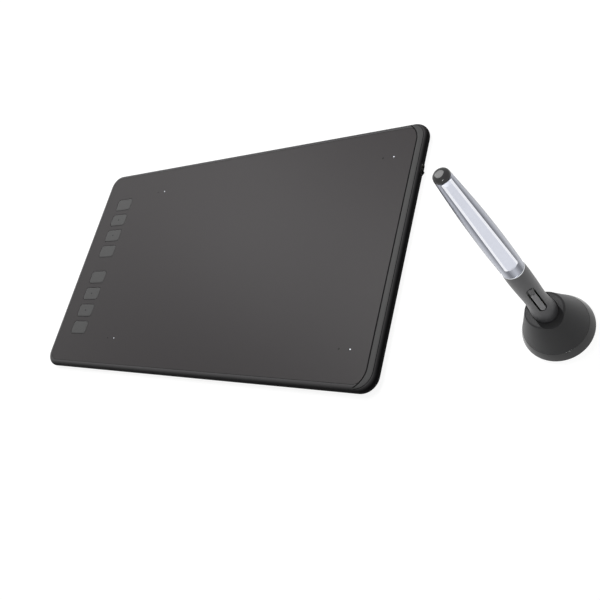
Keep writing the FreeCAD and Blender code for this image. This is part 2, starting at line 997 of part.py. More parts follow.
def pen_nose():
    """Nose cone with a spigot that goes into the grip."""
    cone = turned((
        (0, nose_start),
        (nose_tip_radius, nose_start),
        (nose_end_radius, nose_end),
        (0, nose_end),
    ))
    spigot = cylinder(bore_radius - press_gap, nose_end, nose_spigot_end)
    rooms = [
        cylinder(nib_radius + running_gap, nose_start, nose_end),
        cylinder(holder_radius + running_gap, holder_start - running_gap, nose_end),
        cylinder(ferrite_radius + press_gap, ferrite_start - press_gap, nose_end),
        cylinder(coil_radius + running_gap, ferrite_start + coil_inset - running_gap, nose_spigot_end),
    ]
    return cone.fuse(spigot).cut(rooms).removeSplitter()


def slot_cut(grow_side, grow_end, y_low, y_high):
    """Long slot with round ends, cut along Y."""
    half = slot_width / 2 - grow_side
    low = slot_start + grow_end
    high = slot_end - grow_end
    span = ((-half, half), (low, high))
    plate = rounded_plate(span, half, 0, y_high - y_low)
    plate.rotate(point(0, 0, 0), point(1, 0, 0), 90)
    plate.translate(point(0, y_high, 0))
    return plate


def pen_grip():
    """Soft-touch front half of the pen, slotted for the side switch."""
    body = pen_solid(nose_end, grip_end)
    spigot = cylinder(spigot_radius, grip_end, grip_end + spigot_length)
    bore = cylinder(bore_radius, nose_end, pen_board_end + seam_gap)
    rear_bore = cylinder(spigot_radius - spigot_wall, pen_board_end, grip_end + spigot_length)
    slot = slot_cut(0, 0, -2 * grip_radius, -rocker_root / 2)
    return body.fuse(spigot).cut([bore, rear_bore, slot]).removeSplitter()


def trim_ring():
    outer = barrel_radius + running_gap / 2
    return tube(spigot_radius + press_gap, outer, grip_end, grip_end + trim_height)


def pen_barrel():
    """Tapered rear barrel, slotted at the top for the clip's foot."""
    body = pen_solid(grip_end, barrel_end).cut(cylinder(2 * barrel_radius, 0, grip_end + trim_height))
    front_bore = cylinder(spigot_radius + press_gap, grip_end, grip_end + spigot_length + seam_gap)
    bore = cylinder(barrel_bore, grip_end, barrel_end)
    return body.cut([front_bore, bore, clip_foot(press_gap), clip_body(press_gap)]).removeSplitter()


def pen_cap():
    """End cap with rounded shoulders and a spigot in the barrel."""
    drop = barrel_end_radius - cap_top_radius
    side = [(barrel_end_radius, barrel_end)]
    for inward, upward in cap_shape:
        side.append((barrel_end_radius - drop * inward, barrel_end + cap_height * upward))
    side.append((cap_top_radius, cap_end))
    shoulder = turned([(0, barrel_end)] + side + [(0, cap_end)])
    spigot = cylinder(barrel_bore - press_gap, barrel_end - spigot_length, barrel_end)
    return shoulder.fuse(spigot).removeSplitter()


def clip_front(height):
    """Y of the clip's front face at a height."""
    share = (barrel_end - height) / clip_length
    top = barrel_end_radius + clip_top_rise
    return -(top + (barrel_radius + clip_end_rise - top) * share)


def clip_outline(grow):
    """The clip seen from the front: a taper with a rounded lower end."""
    end_half = clip_end_width / 2 + grow
    mid_half = clip_mid_width / 2 + grow
    top_half = clip_top_width / 2 + grow
    end_centre = clip_start + clip_end_width / 2
    middle = barrel_end - clip_mid_length
    far = -4 * barrel_radius
    corners = [
        point(end_half, far, end_centre),
        point(mid_half, far, middle),
        point(top_half, far, barrel_end),
        point(-top_half, far, barrel_end),
        point(-mid_half, far, middle),
        point(-end_half, far, end_centre),
    ]
    edges = [Part.makeLine(a, b) for a, b in zip(corners, corners[1:])]
    tip = point(0, far, clip_start - grow)
    edges.append(Part.Arc(corners[-1], tip, corners[0]).toShape())
    return Part.Face(Part.Wire(edges)).extrude(point(0, 8 * barrel_radius, 0))


def clip_body(grow):
    """The clip's blade between its front and back faces."""
    low = clip_start - clip_thick
    high = barrel_end
    side = [
        point(-clip_end_width, clip_front(low) - grow, low),
        point(-clip_end_width, clip_front(high) - grow, high),
        point(-clip_end_width, clip_front(high) + clip_thick + grow, high),
        point(-clip_end_width, clip_front(low) + clip_thick + grow, low),
    ]
    blade = Part.Face(Part.makePolygon(side + side[:1])).extrude(point(2 * clip_end_width, 0, 0))
    return blade.common(clip_outline(grow))


def clip_foot(grow):
    """Tab that ties the clip's top into the barrel wall."""
    half = clip_foot_width / 2 + grow
    front = clip_front(barrel_end) + clip_thick / 2
    return box((-half, half), (front, -barrel_bore - press_gap + grow),
               (barrel_end - clip_foot_length - grow, barrel_end))


def pen_clip():
    blade = clip_body(0)
    front_edges = []
    for edge in blade.Edges:
        middle = edge.BoundBox.Center
        if middle.y < clip_front(middle.z) + clip_thick * 0.2 and edge.Length > clip_thick * 3:
            front_edges.append(edge)
    blade = blade.makeChamfer(clip_bevel, front_edges)
    bump_z = clip_start + clip_bump_lead
    near = -barrel_radius - running_gap
    bump = Part.makeSphere(clip_bump_radius, point(0, near - clip_bump_radius, bump_z))
    keep = box((-clip_bump_radius, clip_bump_radius), (clip_front(bump_z) + clip_thick / 2, near),
               (bump_z - clip_bump_radius, bump_z + clip_bump_radius))
    return blade.fuse([clip_foot(0), bump.common(keep)]).removeSplitter()


def ferrite_core():
    return tube(holder_radius + running_gap, ferrite_radius, ferrite_start, ferrite_end)


def pen_coil():
    """Winding around the ferrite core."""
    inner = ferrite_radius + press_gap
    return tube(inner, coil_radius, ferrite_start + coil_inset, ferrite_end - coil_inset)


def pressure_sensor():
    return cylinder(sensor_unit_radius, sensor_unit_bottom, sensor_unit_top)


def pen_board():
    half = bore_radius - pen_board_side_gap
    return box((-half, half), (pen_board_y, pen_board_y + pen_board_thick),
               (pen_board_start, pen_board_end))


def switch_places():
    return [rocker_middle - switch_reach, rocker_middle + switch_reach]


def pen_switches():
    half = switch_size / 2
    return [
        box((-half, half), (pen_board_y - switch_height, pen_board_y), (z - half, z + half))
        for z in switch_places()
    ]


def rocker_cradle():
    """Ridge on the board that the rocker tips over."""
    half = cradle_width / 2
    return box((-half, half), (-rocker_root + cradle_gap, pen_board_y),
               (rocker_middle - cradle_length / 2, rocker_middle + cradle_length / 2))


def pen_rocker():
    """Two-way side switch: a raised pad, a stepped upper end, and a flange inside the bore."""
    pad = slot_cut(rocker_gap_side, rocker_gap_end, -grip_radius - rocker_proud, -rocker_root)
    step_low = slot_end - rocker_gap_end - rocker_step
    step_face = -grip_radius - rocker_proud + rocker_step_depth
    step = box((-slot_width, slot_width), (-2 * grip_radius, step_face), (step_low, slot_end))
    half = bore_radius - rocker_flange_side_gap
    flange = box((-half, half), (-rocker_root - rocker_flange_thick, -rocker_root),
                 (rocker_middle - rocker_flange_reach, rocker_middle + rocker_flange_reach))
    nub_end = pen_board_y - switch_height - rocker_nub_gap
    nubs = []
    for z in switch_places():
        nubs.append(box((-rocker_nub / 2, rocker_nub / 2), (-rocker_root, nub_end),
                        (z - rocker_nub / 2, z + rocker_nub / 2)))
    return pad.cut(step).fuse([flange] + nubs).removeSplitter()


def at_tablet(shape):
    shape.translate(point(tablet_x, 0, 0))
    return shape


def at_stand(shape):
    shape.rotate(point(0, 0, 0), point(0, 0, 1), stand_turn)
    shape.translate(point(tablet_x + stand_x, stand_y, 0))
    return shape


def save(name, made, place):
    """Write one piece, or a group of like pieces, to its own file."""
    solids = made if isinstance(made, list) else made.Solids
    placed = [place(solid) for solid in solids]
    for solid in placed:
        if not solid.isValid() or solid.Volume <= 0:
            print("check", name)
    shape = placed[0] if len(placed) == 1 else Part.makeCompound(placed)
    shape.exportStep(os.path.join("parts", name + ".step"))


def tablet_pieces():
    pieces = {
        "rear_shell": rear_shell(),
        "top_cover": top_cover(),
        "side_strip": side_strip(),
        "drawing_sheet": sheet_layer(sheet_bottom, case_top),
        "sheet_adhesive": sheet_layer(pocket_bottom, sheet_bottom),
        "key_board": key_board(),
        "dome_sheet": dome_sheet(),
        "key_ribbon": key_ribbon(),
        "ribbon_sockets": ribbon_sockets(),
        "sensor_board": sensor_board(),
        "shield_plate": shield_plate(),
        "foam_strips": foam_strips(),
        "corner_lamps": corner_lamps(),
        "light_pipes": light_pipes(),
        "main_board": main_board(),
        "controller_chips": controller_chips(),
        "board_link": board_link(),
        "usb_shell": usb_shell(),
        "usb_tongue": usb_tongue(),
        "port_rim": port_rim(),
        "rubber_feet": rubber_feet(),
        "case_screws": case_screws(),
        "board_screws": board_screws(),
    }
    for number, y in key_places():
        pieces["key_%d" % number] = press_key(number, y)
    return pieces


def stand_pieces():
    return {
        "stand_cone": stand_cone(),
        "stand_band": stand_band(),
        "stand_weight": stand_weight(),
        "stand_base": stand_base(),
        "stand_pad": stand_pad(),
        "nib_tray": nib_tray(),
        "nib_puller": nib_puller(),
        "spare_nibs": spare_nibs(),
    }


def pen_pieces():
    return {
        "pen_nib": nib(pen_tip),
        "nib_holder": nib_holder(),
        "pen_nose": pen_nose(),
        "pen_grip": pen_grip(),
        "trim_ring": trim_ring(),
        "pen_barrel": pen_barrel(),
        "pen_cap": pen_cap(),
        "pen_clip": pen_clip(),
        "ferrite_core": ferrite_core(),
        "pen_coil": pen_coil(),
        "pressure_sensor": pressure_sensor(),
        "pen_board": pen_board(),
        "pen_switches": pen_switches(),
        "rocker_cradle": rocker_cradle(),
        "pen_rocker": pen_rocker(),
    }


def main():
    os.makedirs("parts", exist_ok=True)
    for name, made in tablet_pieces().items():
        save(name, made, at_tablet)
    for name, made in {**stand_pieces(), **pen_pieces()}.items():
        save(name, made, at_stand)


main()
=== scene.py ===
import bmesh
import bpy
import json
import math
from mathutils import Matrix, Vector


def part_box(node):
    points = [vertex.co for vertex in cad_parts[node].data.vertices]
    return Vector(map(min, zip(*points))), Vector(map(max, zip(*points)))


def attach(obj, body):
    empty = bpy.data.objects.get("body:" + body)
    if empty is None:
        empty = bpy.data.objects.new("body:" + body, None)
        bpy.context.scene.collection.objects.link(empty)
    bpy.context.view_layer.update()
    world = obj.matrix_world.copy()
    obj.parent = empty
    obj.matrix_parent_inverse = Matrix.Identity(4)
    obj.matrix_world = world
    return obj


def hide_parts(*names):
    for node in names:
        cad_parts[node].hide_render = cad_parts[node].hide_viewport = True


# A pen tablet on its rubber feet and its pen in a weighted stand, as the pieces look.
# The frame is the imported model's. Each heading says whether its values are metres or millimetres.

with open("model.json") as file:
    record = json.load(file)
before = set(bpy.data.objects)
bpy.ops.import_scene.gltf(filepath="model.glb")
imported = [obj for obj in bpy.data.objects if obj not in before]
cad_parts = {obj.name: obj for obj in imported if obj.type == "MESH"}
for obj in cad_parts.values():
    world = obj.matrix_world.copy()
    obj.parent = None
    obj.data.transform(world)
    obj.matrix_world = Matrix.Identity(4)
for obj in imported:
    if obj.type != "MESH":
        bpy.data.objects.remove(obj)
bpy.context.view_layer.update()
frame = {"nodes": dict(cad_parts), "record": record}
nodes = frame["nodes"]

MM = 0.001

bpy.context.scene.view_settings.view_transform = "Standard"

# The photograph's view, in metres: where the camera stands, its level line and its up line
CAMERA_PLACE = (0.34655, -0.1975, 0.3733)
CAMERA_RIGHT = (0.7939, 0.2374, -0.5597)
CAMERA_UP = (0.0040, 0.9185, 0.3954)
CAMERA_LENS_MM = 40.53
CAMERA_NEAR = 0.01

# Floor, in metres, the share of white that it shows near the object, and the room's light on the object
FLOOR_HALF = 3.0
FLOOR_NEAR = 0.45
FLOOR_FAR = 1.3
FLOOR_GLOW = 0.9
PAPER_FIBRES_PER_METRE = 900
WORLD_LEVEL = 0.16

# The axis that the pen shares with its stand, in metres, and the turn of the clip's side from -Y
band_low, band_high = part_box("stand_band")
STAND_AXIS = ((band_low.x + band_high.x) / 2, (band_low.y + band_high.y) / 2, 0)
STAND_TURN_DEG = 40
PEN_MIDDLE_HEIGHT = 0.09
PEN_MIDDLE = (STAND_AXIS[0], STAND_AXIS[1], PEN_MIDDLE_HEIGHT)
PEN_PLACE = Matrix.Translation(STAND_AXIS) @ Matrix.Rotation(math.radians(STAND_TURN_DEG), 4, "Z")

# Case, in millimetres about the middle of the tablet
case_low, case_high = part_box("top_cover")
CASE_HALF_LONG = (case_high.x - case_low.x) / 2 / MM
CASE_HALF_DEEP = (case_high.y - case_low.y) / 2 / MM
CASE_TOP = case_high.z / MM
CASE_CORNER = 13.0
RIM_RADIUS = 4.3
COVER_WALL = 1.8
TABLET_PLACE = Matrix.Translation(((case_low.x + case_high.x) / 2, (case_low.y + case_high.y) / 2, 0))

# Painted shade on the case's side: black below this height in millimetres, how steeply it fades, and the
# grain's share
SIDE_SHADE_LOW = 7.2
SIDE_SHADE_POWER = 2.2
CASE_GRAIN_SHARE = 0.15

# Drawing sheet and the painted shadow in its joint, a black ribbon, in millimetres, the section in
# shares of half the ribbon's width
SHEET_LEFT_INSET = 6.0
SHEET_RIGHT_INSET = 8.0
SHEET_SIDE_INSET = 4.7
SHEET_CORNER = 9.0
SHEET_SHADOW_STEP = 0.07
SHEET_SHADOW_WIDTH = 0.42
SHADOW_RIBBON_SECTION = ((-1, -0.3), (-0.6, 0.01), (0, 0.03), (0.6, 0.01), (1, -0.3))

# Inlaid strip of the right edge and the two painted shadow ribbons in the joints along it, in
# millimetres
STRIP_INNER_RADIUS = 17.0
STRIP_INNER_INSET = 7.65
STRIP_OUTER_INSET = 3.5
STRIP_SIDE_INSET = 2.6
STRIP_OUTER_RADIUS = 12.0
STRIP_INNER_SWEEP_DEG = 57
STRIP_OUTER_SWEEP_DEG = 88
STRIP_INNER_GROW = 0.45
STRIP_OUTER_GROW = 0.7
STRIP_EDGE = 0.45
STRIP_EDGE_STEPS = 4
STRIP_ROOT = 0.5
STRIP_PROUD = 0.03
STRIP_INNER_SHADOW_STEP = 0.4
STRIP_INNER_SHADOW_WIDTH = 1.3
STRIP_OUTER_SHADOW_STEP = 0.15
STRIP_OUTER_SHADOW_WIDTH = 0.6

# Lip of the cable socket, in millimetres
LIP_WALL = 0.8
LIP_CORNER_SHARE = 0.6
LIP_CORNER_STEPS = 6
LIP_SIDE_STEPS = 12
LIP_EDGE = 0.15
LIP_PROUD = 0.05
LIP_CROWN = 0.9
LIP_CROWN_PLACE = -1.9
LIP_CROWN_HALF = 1.9

# Keys, in millimetres, and the raised dot as (radius, rise over the key's face)
KEY_LENGTH = 22.0
KEY_WIDTH = 12.5
KEY_CORNER = 3.0
KEY_CORNER_STEPS = 8
KEY_EDGE = 1.35
KEY_EDGE_DEPTH = 0.5
KEY_EDGE_STEPS = 6
KEY_FLAT_STEP = 0.4
KEY_NUB_HALF = 1.0
KEY_FLANGE = 0.8
KEY_FLANGE_REACH = 1.0
KEY_FLANGE_GAP = 0.1
KEY_PROUD = 0.3
KEY_FACE = CASE_TOP + KEY_PROUD
KEY_DOT_PROFILE = ((0.8, -0.1), (0.8, 0.04), (0.56, 0.208), (0.01, 0.26))
KEY_DOT_ROUND = 0.2
DOTTED_KEYS = (2, 3, 6, 7)

# Lit marks, in millimetres about the middle of the tablet, their dimple and ring as (radius, rise)
MARK_MIDDLE = 34.2
MARK_HALF_LONG = 127.0
MARK_HALF_DEEP = 76.2
MARK_GLOW = 0.8
DIMPLE_STEP = 9.3
DIMPLE_PROFILE = ((0.7, -0.1), (0.7, 0.01), (0.56, 0.02), (0.01, -0.03))
MARK_RING_SECTION = ((0.52, -0.1), (0.52, 0.01), (0.6, 0.03), (0.77, 0.03), (0.85, 0.01), (0.85, -0.1))
MARK_RING_STEPS = 24

# Pen, in millimetres along and from its axis, and the barrel as (radius, distance from its lower end)
GRIP_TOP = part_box("trim_ring")[0].z / MM
TRIM_HEIGHT = 0.7
BARREL_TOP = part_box("pen_barrel")[1].z / MM
BARREL_PROFILE = ((5.95, 0), (5.95, 24.7), (5.4, 50.7), (4.55, 69.7), (3.8, 83.5))
BARREL_STEPS = 8
BARREL_EDGE = 0.35
BARREL_EDGE_HEIGHT = 0.3
# Painted reflections on the silver barrel: how many streaks run round it, and the flake grain's share in
# them
REFLECTION_STREAK_COUNT = 6
FLAKE_SHARE = 0.1
CAP_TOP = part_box("pen_cap")[1].z / MM
CAP_TOP_RADIUS = 2.2
CAP_SHOULDER = 0.2
CAP_SHOULDER_HEIGHT = 1.3
CAP_ROUND = 0.9
CAP_POLE = 0.01

# Clip of the pen, in millimetres, with the square of half its width at its tip and its steps upwards
CLIP_LENGTH = 74.0
CLIP_TOP_REACH = 4.9
CLIP_END_REACH = 8.0
CLIP_TOP_HALF = 2.35
CLIP_END_HALF = 3.55
CLIP_END_TURN_IN = 0.6
CLIP_TIP_SQUARE = 0.02
CLIP_THICK = 1.1
CLIP_LEAST_THICK = 0.1
CLIP_BEVEL = 1.0
CLIP_BEVEL_SHARE = 0.5
CLIP_BEVEL_DEPTH = 0.55
CLIP_BEVEL_FACES = (2, 4)
CLIP_TURN = 1.8
CLIP_TURN_IN = 0.9
CLIP_STEPS = (12, 16, 5)

# Side switch of the pen, in millimetres along and from the pen's axis, with its steps upwards
ROCKER_SPAN = (41.75, 66.35)
ROCKER_STEP = 60.2
ROCKER_STEP_DEPTH = 0.4
ROCKER_STEP_RUN = 0.5
ROCKER_STEPS = (8, 8, 3, 4)
ROCKER_HALF = 1.45
ROCKER_HALF_STEPS = 6
ROCKER_TIP_SQUARE = 0.01
ROCKER_FACE = 6.35
ROCKER_CROWN = 0.12
ROCKER_EDGE = 0.35
ROCKER_SLOPE = 0.35
ROCKER_ROOT = 3.0

# Glossy band of the stand, in millimetres
BAND_INNER = 17.32
BAND_BOTTOM_RADIUS = 20.6
BAND_TOP_RADIUS = 18.5
BAND_EDGE = 0.3


def linear(hex_code):
    """Linear RGBA from an sRGB hex value."""
    channels = [int(hex_code[index:index + 2], 16) / 255 for index in (1, 3, 5)]
    return [c / 12.92 if c <= 0.04045 else ((c + 0.055) / 1.055) ** 2.4 for c in channels] + [1.0]


def add_node(tree, kind, inputs=None, **settings):
    """Add a shader node, with its settings, its socket values and its links from other sockets."""
    added = tree.nodes.new(kind)
    for name, value in settings.items():
        setattr(added, name, value)
    for socket, value in (inputs or {}).items():
        if isinstance(value, bpy.types.NodeSocket):
            tree.links.new(value, added.inputs[socket])
        else:
            added.inputs[socket].default_value = value
    return added


def new_material(name):
    """An empty material and its tree of nodes."""
    material = bpy.data.materials.new(name)
    material.use_nodes = True
    material.node_tree.nodes.clear()
    return material, material.node_tree


def grain(tree, size_mm, stretch=(1, 1, 1)):
    """Irregular grain of one size, from 0 to 1."""
    place = add_node(tree, "ShaderNodeTexCoord").outputs["Object"]
    along = add_node(tree, "ShaderNodeMapping", {"Vector": place, "Scale": stretch}).outputs["Vector"]
    noise = add_node(tree, "ShaderNodeTexNoise", {
        "Vector": along, "Scale": 1 / (size_mm * MM), "Detail": 3.0})
    return add_node(tree, "ShaderNodeMapRange", {
        "Value": noise.outputs["Fac"], "From Min": 0.3, "From Max": 0.7}).outputs["Result"]


def painted_shade_down_the_side(tree, size_mm):
    """Fine grain over painted shade, a tone that is full on top of the case and fades down its side,
    from 0 to 1.
    """
    place = add_node(tree, "ShaderNodeTexCoord").outputs["Object"]
    height = add_node(tree, "ShaderNodeSeparateXYZ", {"Vector": place}).outputs["Z"]
    level = add_node(tree, "ShaderNodeMapRange", {
        "Value": height, "From Min": SIDE_SHADE_LOW * MM, "From Max": CASE_TOP * MM}).outputs["Result"]
    # The tone's fall down the side is painted shade
    steep = add_node(tree, "ShaderNodeMath", {0: level, 1: SIDE_SHADE_POWER}, operation="POWER")
    speckle = add_node(tree, "ShaderNodeMapRange", {
        "Value": grain(tree, size_mm), "To Min": 1 - CASE_GRAIN_SHARE}).outputs["Result"]
    return add_node(tree, "ShaderNodeMath", {
        0: steep.outputs[0], 1: speckle}, operation="MULTIPLY").outputs[0]


def ridges(tree, pitch_mm, centre=(0, 0, 0), **layout):
    """Even ridges of one pitch, straight or in rings round a centre, from 0 to 1."""
    place = add_node(tree, "ShaderNodeTexCoord").outputs["Object"]
    about = add_node(tree, "ShaderNodeVectorMath", {0: place, 1: centre}, operation="SUBTRACT")
    # At scale 1 this texture repeats every pi / 10
    return add_node(tree, "ShaderNodeTexWave", {
        "Vector": about.outputs["Vector"], "Scale": math.pi / (10 * pitch_mm * MM), "Distortion": 0.4,
        "Detail": 1.0}, **layout).outputs["Fac"]


def painted_reflection_streaks(tree, flake_mm):
    """Fine flake over soft streaks of painted reflection along the pen, evenly spaced round its axis,
    from 0 to 1.
    """
    place = add_node(tree, "ShaderNodeTexCoord").outputs["Object"]
    about = add_node(tree, "ShaderNodeVectorMath", {0: place, 1: STAND_AXIS}, operation="SUBTRACT")
    turn = add_node(tree, "ShaderNodeTexGradient", {
        "Vector": about.outputs["Vector"]}, gradient_type="RADIAL").outputs["Fac"]
    clip_phase = math.radians(90 - STAND_TURN_DEG) * REFLECTION_STREAK_COUNT
    phase = add_node(tree, "ShaderNodeMath", {
        0: turn, 1: 2 * math.pi * REFLECTION_STREAK_COUNT, 2: clip_phase}, operation="MULTIPLY_ADD").outputs[0]
    wave = add_node(tree, "ShaderNodeMath", {0: phase}, operation="COSINE").outputs[0]
    soft = add_node(tree, "ShaderNodeMapRange", {
        "Value": wave, "From Min": -1.0, "To Max": 1 - FLAKE_SHARE}).outputs["Result"]
    return add_node(tree, "ShaderNodeMath", {
        0: grain(tree, flake_mm), 1: FLAKE_SHARE, 2: soft}, operation="MULTIPLY_ADD").outputs[0]


def copper_tracks(tree, pitch_mm):
    """Square runs of track under the solder mask, from 0 to 1."""
    place = add_node(tree, "ShaderNodeTexCoord").outputs["Object"]
    return add_node(tree, "ShaderNodeTexBrick", {
        "Vector": place, "Scale": 1 / (pitch_mm * MM), "Mortar Size": 0.12, "Mortar Smooth": 0.2,
        "Brick Width": 1.7, "Row Height": 0.6}).outputs["Fac"]


def finish(name, tones, shine, relief_mm, pattern, **shader):
    """A material whose two tones, range of roughness and relief all follow one pattern."""
    material, tree = new_material(name)
    amount = pattern(tree)
    colour = add_node(tree, "ShaderNodeMixRGB", {
        "Fac": amount, "Color1": linear(tones[0]), "Color2": linear(tones[1])})
    rough = add_node(tree, "ShaderNodeMapRange", {
        "Value": amount, "To Min": shine[0], "To Max": shine[1]})
    bump = add_node(tree, "ShaderNodeBump", {"Height": amount, "Distance": relief_mm * MM})
    principled = add_node(tree, "ShaderNodeBsdfPrincipled", {
        "Base Color": colour.outputs["Color"], "Roughness": rough.outputs["Result"],
        "Normal": bump.outputs["Normal"], **shader})
    add_node(tree, "ShaderNodeOutputMaterial", {"Surface": principled.outputs["BSDF"]})
    return material


# Moulded, blasted and lacquered grain of under 0.1 mm is too fine to show, so it is drawn at 0.12 to
# 0.5 mm.


def case_abs():
    """Moulded ABS from a spark-eroded tool: very fine grain, with painted light and shade, paler on top
    and black at the side.
    """
    return finish("spark_eroded_abs_painted_shade", ("#080809", "#5e5d5e"), shine=(0.6, 0.27), relief_mm=0.02,
                  pattern=lambda tree: painted_shade_down_the_side(tree, size_mm=0.35),
                  **{"Specular IOR Level": 0.035})


def rear_abs_painted_shade():
    """The lower case half: the same grained ABS, painted a deeper black as the shade under the case."""
    return finish("black_rear_abs", ("#0a0a0b", "#0e0e0f"), shine=(0.55, 0.65), relief_mm=0.006,
                  pattern=lambda tree: grain(tree, size_mm=0.35), **{"Specular IOR Level": 0.02})


def drawing_film():
    """Hard-coated matt polyester film: even, with a tooth too fine to show as more than softness."""
    return finish("matt_drawing_film", ("#343132", "#373435"), shine=(0.38, 0.44), relief_mm=0.004,
                  pattern=lambda tree: grain(tree, size_mm=0.3), **{"Specular IOR Level": 0.2})


def inlay_abs():
    """Satin moulded ABS, a little lighter than the case."""
    return finish("satin_inlay_abs", ("#4c4c4c", "#515151"), shine=(0.4, 0.46), relief_mm=0.004,
                  pattern=lambda tree: grain(tree, size_mm=0.35), **{"Specular IOR Level": 0.1})


def key_abs():
    """Fine-textured ABS key caps, lighter than the sheet round them."""
    return finish("textured_key_abs", ("#575757", "#5c5c5c"), shine=(0.45, 0.52), relief_mm=0.005,
                  pattern=lambda tree: grain(tree, size_mm=0.3), **{"Specular IOR Level": 0.1})


def transfer_tape():
    """Clear acrylic adhesive on its way to milky, with the small voids of a rolled-on film."""
    return finish("transfer_tape", ("#c9c7bd", "#dad8cf"), shine=(0.2, 0.3), relief_mm=0.01,
                  pattern=lambda tree: grain(tree, size_mm=2.0))


def solder_mask():
    """Glass-epoxy board under green solder mask: glossy, with paler lines where copper lies below it."""
    return finish("solder_masked_board", ("#0f3d22", "#1c6136"), shine=(0.22, 0.3), relief_mm=0.035,
                  pattern=lambda tree: copper_tracks(tree, pitch_mm=4.0), **{"Coat Weight": 0.3})


def silicon_steel():
    """Cold-rolled silicon steel sheet: satin, with fine lines along the rolling direction."""
    return finish("rolled_silicon_steel", ("#8f9193", "#a9abad"), shine=(0.3, 0.42), relief_mm=0.004,
                  pattern=lambda tree: grain(tree, size_mm=1.2, stretch=(0.04, 1, 1)), Metallic=1.0)


def cell_foam():
    """Closed-cell foam: dull, with cells of half a millimetre."""
    return finish("closed_cell_foam", ("#1b1b1c", "#333334"), shine=(0.85, 0.95), relief_mm=0.12,
                  pattern=lambda tree: grain(tree, size_mm=0.6))


def silicone_rubber():
    """Moulded silicone rubber: matt and slightly dusty."""
    return finish("moulded_silicone_rubber", ("#1d1d1e", "#262627"), shine=(0.65, 0.8), relief_mm=0.02,
                  pattern=lambda tree: grain(tree, size_mm=0.5), **{"Specular IOR Level": 0.35})


def make_deep_black_and_joint_shadow():
    """Matt, deep black: painted shadow in the joints, so that each joint reads as a shadow line, and the
    black of the socket lip and of the marks' dimples and rings.
    """
    return finish("deep_black_and_painted_joint_shadow", ("#0b0b0b", "#121212"), shine=(0.7, 0.8), relief_mm=0.01,
                  pattern=lambda tree: grain(tree, size_mm=0.3), **{"Specular IOR Level": 0.1})


def rocker_elastomer():
    """Side switch: a lighter, satin elastomer than the grip round it."""
    return finish("satin_rocker_elastomer", ("#858586", "#8d8d8f"), shine=(0.4, 0.48), relief_mm=0.004,
                  pattern=lambda tree: grain(tree, size_mm=0.25), **{"Specular IOR Level": 0.4})


def cut_bevel():
    """Diamond-cut bevels of the clip: bright aluminium, with the cutter's fine lines along them."""
    return finish("diamond_cut_aluminium", ("#e6e8ef", "#f2f3f8"), shine=(0.12, 0.2), relief_mm=0.002,
                  pattern=lambda tree: grain(tree, size_mm=0.2, stretch=(1, 1, 0.05)), Metallic=1.0)


def chip_epoxy():
    """Epoxy moulding compound of a chip package: dark and fine-grained."""
    return finish("epoxy_chip_package", ("#17181a", "#202124"), shine=(0.5, 0.62), relief_mm=0.008,
                  pattern=lambda tree: grain(tree, size_mm=0.2))


def nylon_housing():
    """Glass-filled nylon of a connector: ivory, with a faint flow grain."""
    return finish("glass_filled_nylon", ("#cfc7b2", "#ded7c4"), shine=(0.4, 0.5), relief_mm=0.01,
                  pattern=lambda tree: grain(tree, size_mm=0.5))


def dome_film():
    """Clear polyester over snap domes: pale and glossy."""
    return finish("polyester_dome_film", ("#d9dad6", "#e4e5e1"), shine=(0.12, 0.2), relief_mm=0.005,
                  pattern=lambda tree: grain(tree, size_mm=3.0))


def flex_ribbon():
    """Flat flexible cable: white polyester with tinned copper strips at a 1 mm pitch showing through."""
    return finish("flat_flex_ribbon", ("#b9bbb8", "#e6e7e4"), shine=(0.2, 0.3), relief_mm=0.03,
                  pattern=lambda tree: ridges(tree, pitch_mm=1.0, bands_direction="Y"))


def lamp_package():
    """White reflector package of a small lamp."""
    return finish("white_lamp_package", ("#e6e4da", "#f2f0e6"), shine=(0.25, 0.35), relief_mm=0.01,
                  pattern=lambda tree: grain(tree, size_mm=0.2))


def milky_acrylic():
    """Milky acrylic light pipe with a little of its lamp's light in it."""
    return finish("milky_acrylic", ("#b3b7be", "#bec2c9"), shine=(0.15, 0.25), relief_mm=0.004,
                  pattern=lambda tree: grain(tree, size_mm=0.3),
                  **{"Emission Color": linear("#f4f7ff"), "Emission Strength": MARK_GLOW})


def nickel_plate():
    """Nickel-plated stamped steel: bright, with fine stamping lines."""
    return finish("nickel_plated_steel", ("#b3b1aa", "#c9c7c0"), shine=(0.2, 0.3), relief_mm=0.005,
                  pattern=lambda tree: grain(tree, size_mm=0.4, stretch=(0.1, 1, 1)), Metallic=1.0)


def black_oxide():
    """Blackened steel screw: dark, slightly oily metal."""
    return finish("black_oxide_steel", ("#2c2c2e", "#3d3d40"), shine=(0.3, 0.42), relief_mm=0.008,
                  pattern=lambda tree: grain(tree, size_mm=0.3), Metallic=1.0)


def stand_lacquer():
    """Soft-touch lacquer over ABS: deep and even, with a broad soft sheen and no sharp highlight."""
    return finish("soft_touch_stand_lacquer", ("#232324", "#29292a"), shine=(0.42, 0.5), relief_mm=0.004,
                  pattern=lambda tree: grain(tree, size_mm=0.25), **{"Specular IOR Level": 0.25})


def polished_abs():
    """Polished black ABS: mirror-like, with the faint waviness of a moulded gloss face."""
    return finish("polished_black_abs", ("#141415", "#19191a"), shine=(0.15, 0.21), relief_mm=0.002,
                  pattern=lambda tree: grain(tree, size_mm=6.0))


def satin_abs():
    """Satin black ABS of the foot."""
    return finish("satin_black_abs", ("#1c1c1d", "#222223"), shine=(0.32, 0.4), relief_mm=0.006,
                  pattern=lambda tree: grain(tree, size_mm=0.35))


def turned_steel():
    """Steel turned on a lathe: fine rings round the stand's axis."""
    return finish("turned_steel", ("#85878a", "#a4a6a9"), shine=(0.25, 0.4), relief_mm=0.01,
                  pattern=lambda tree: ridges(
                      tree, pitch_mm=0.8, centre=STAND_AXIS, wave_type="RINGS", rings_direction="Z"),
                  Metallic=1.0)


def acetal():
    """Acetal nib: dark, waxy and close-grained."""
    return finish("moulded_acetal", ("#1e1e1f", "#272728"), shine=(0.3, 0.38), relief_mm=0.003,
                  pattern=lambda tree: grain(tree, size_mm=0.2))


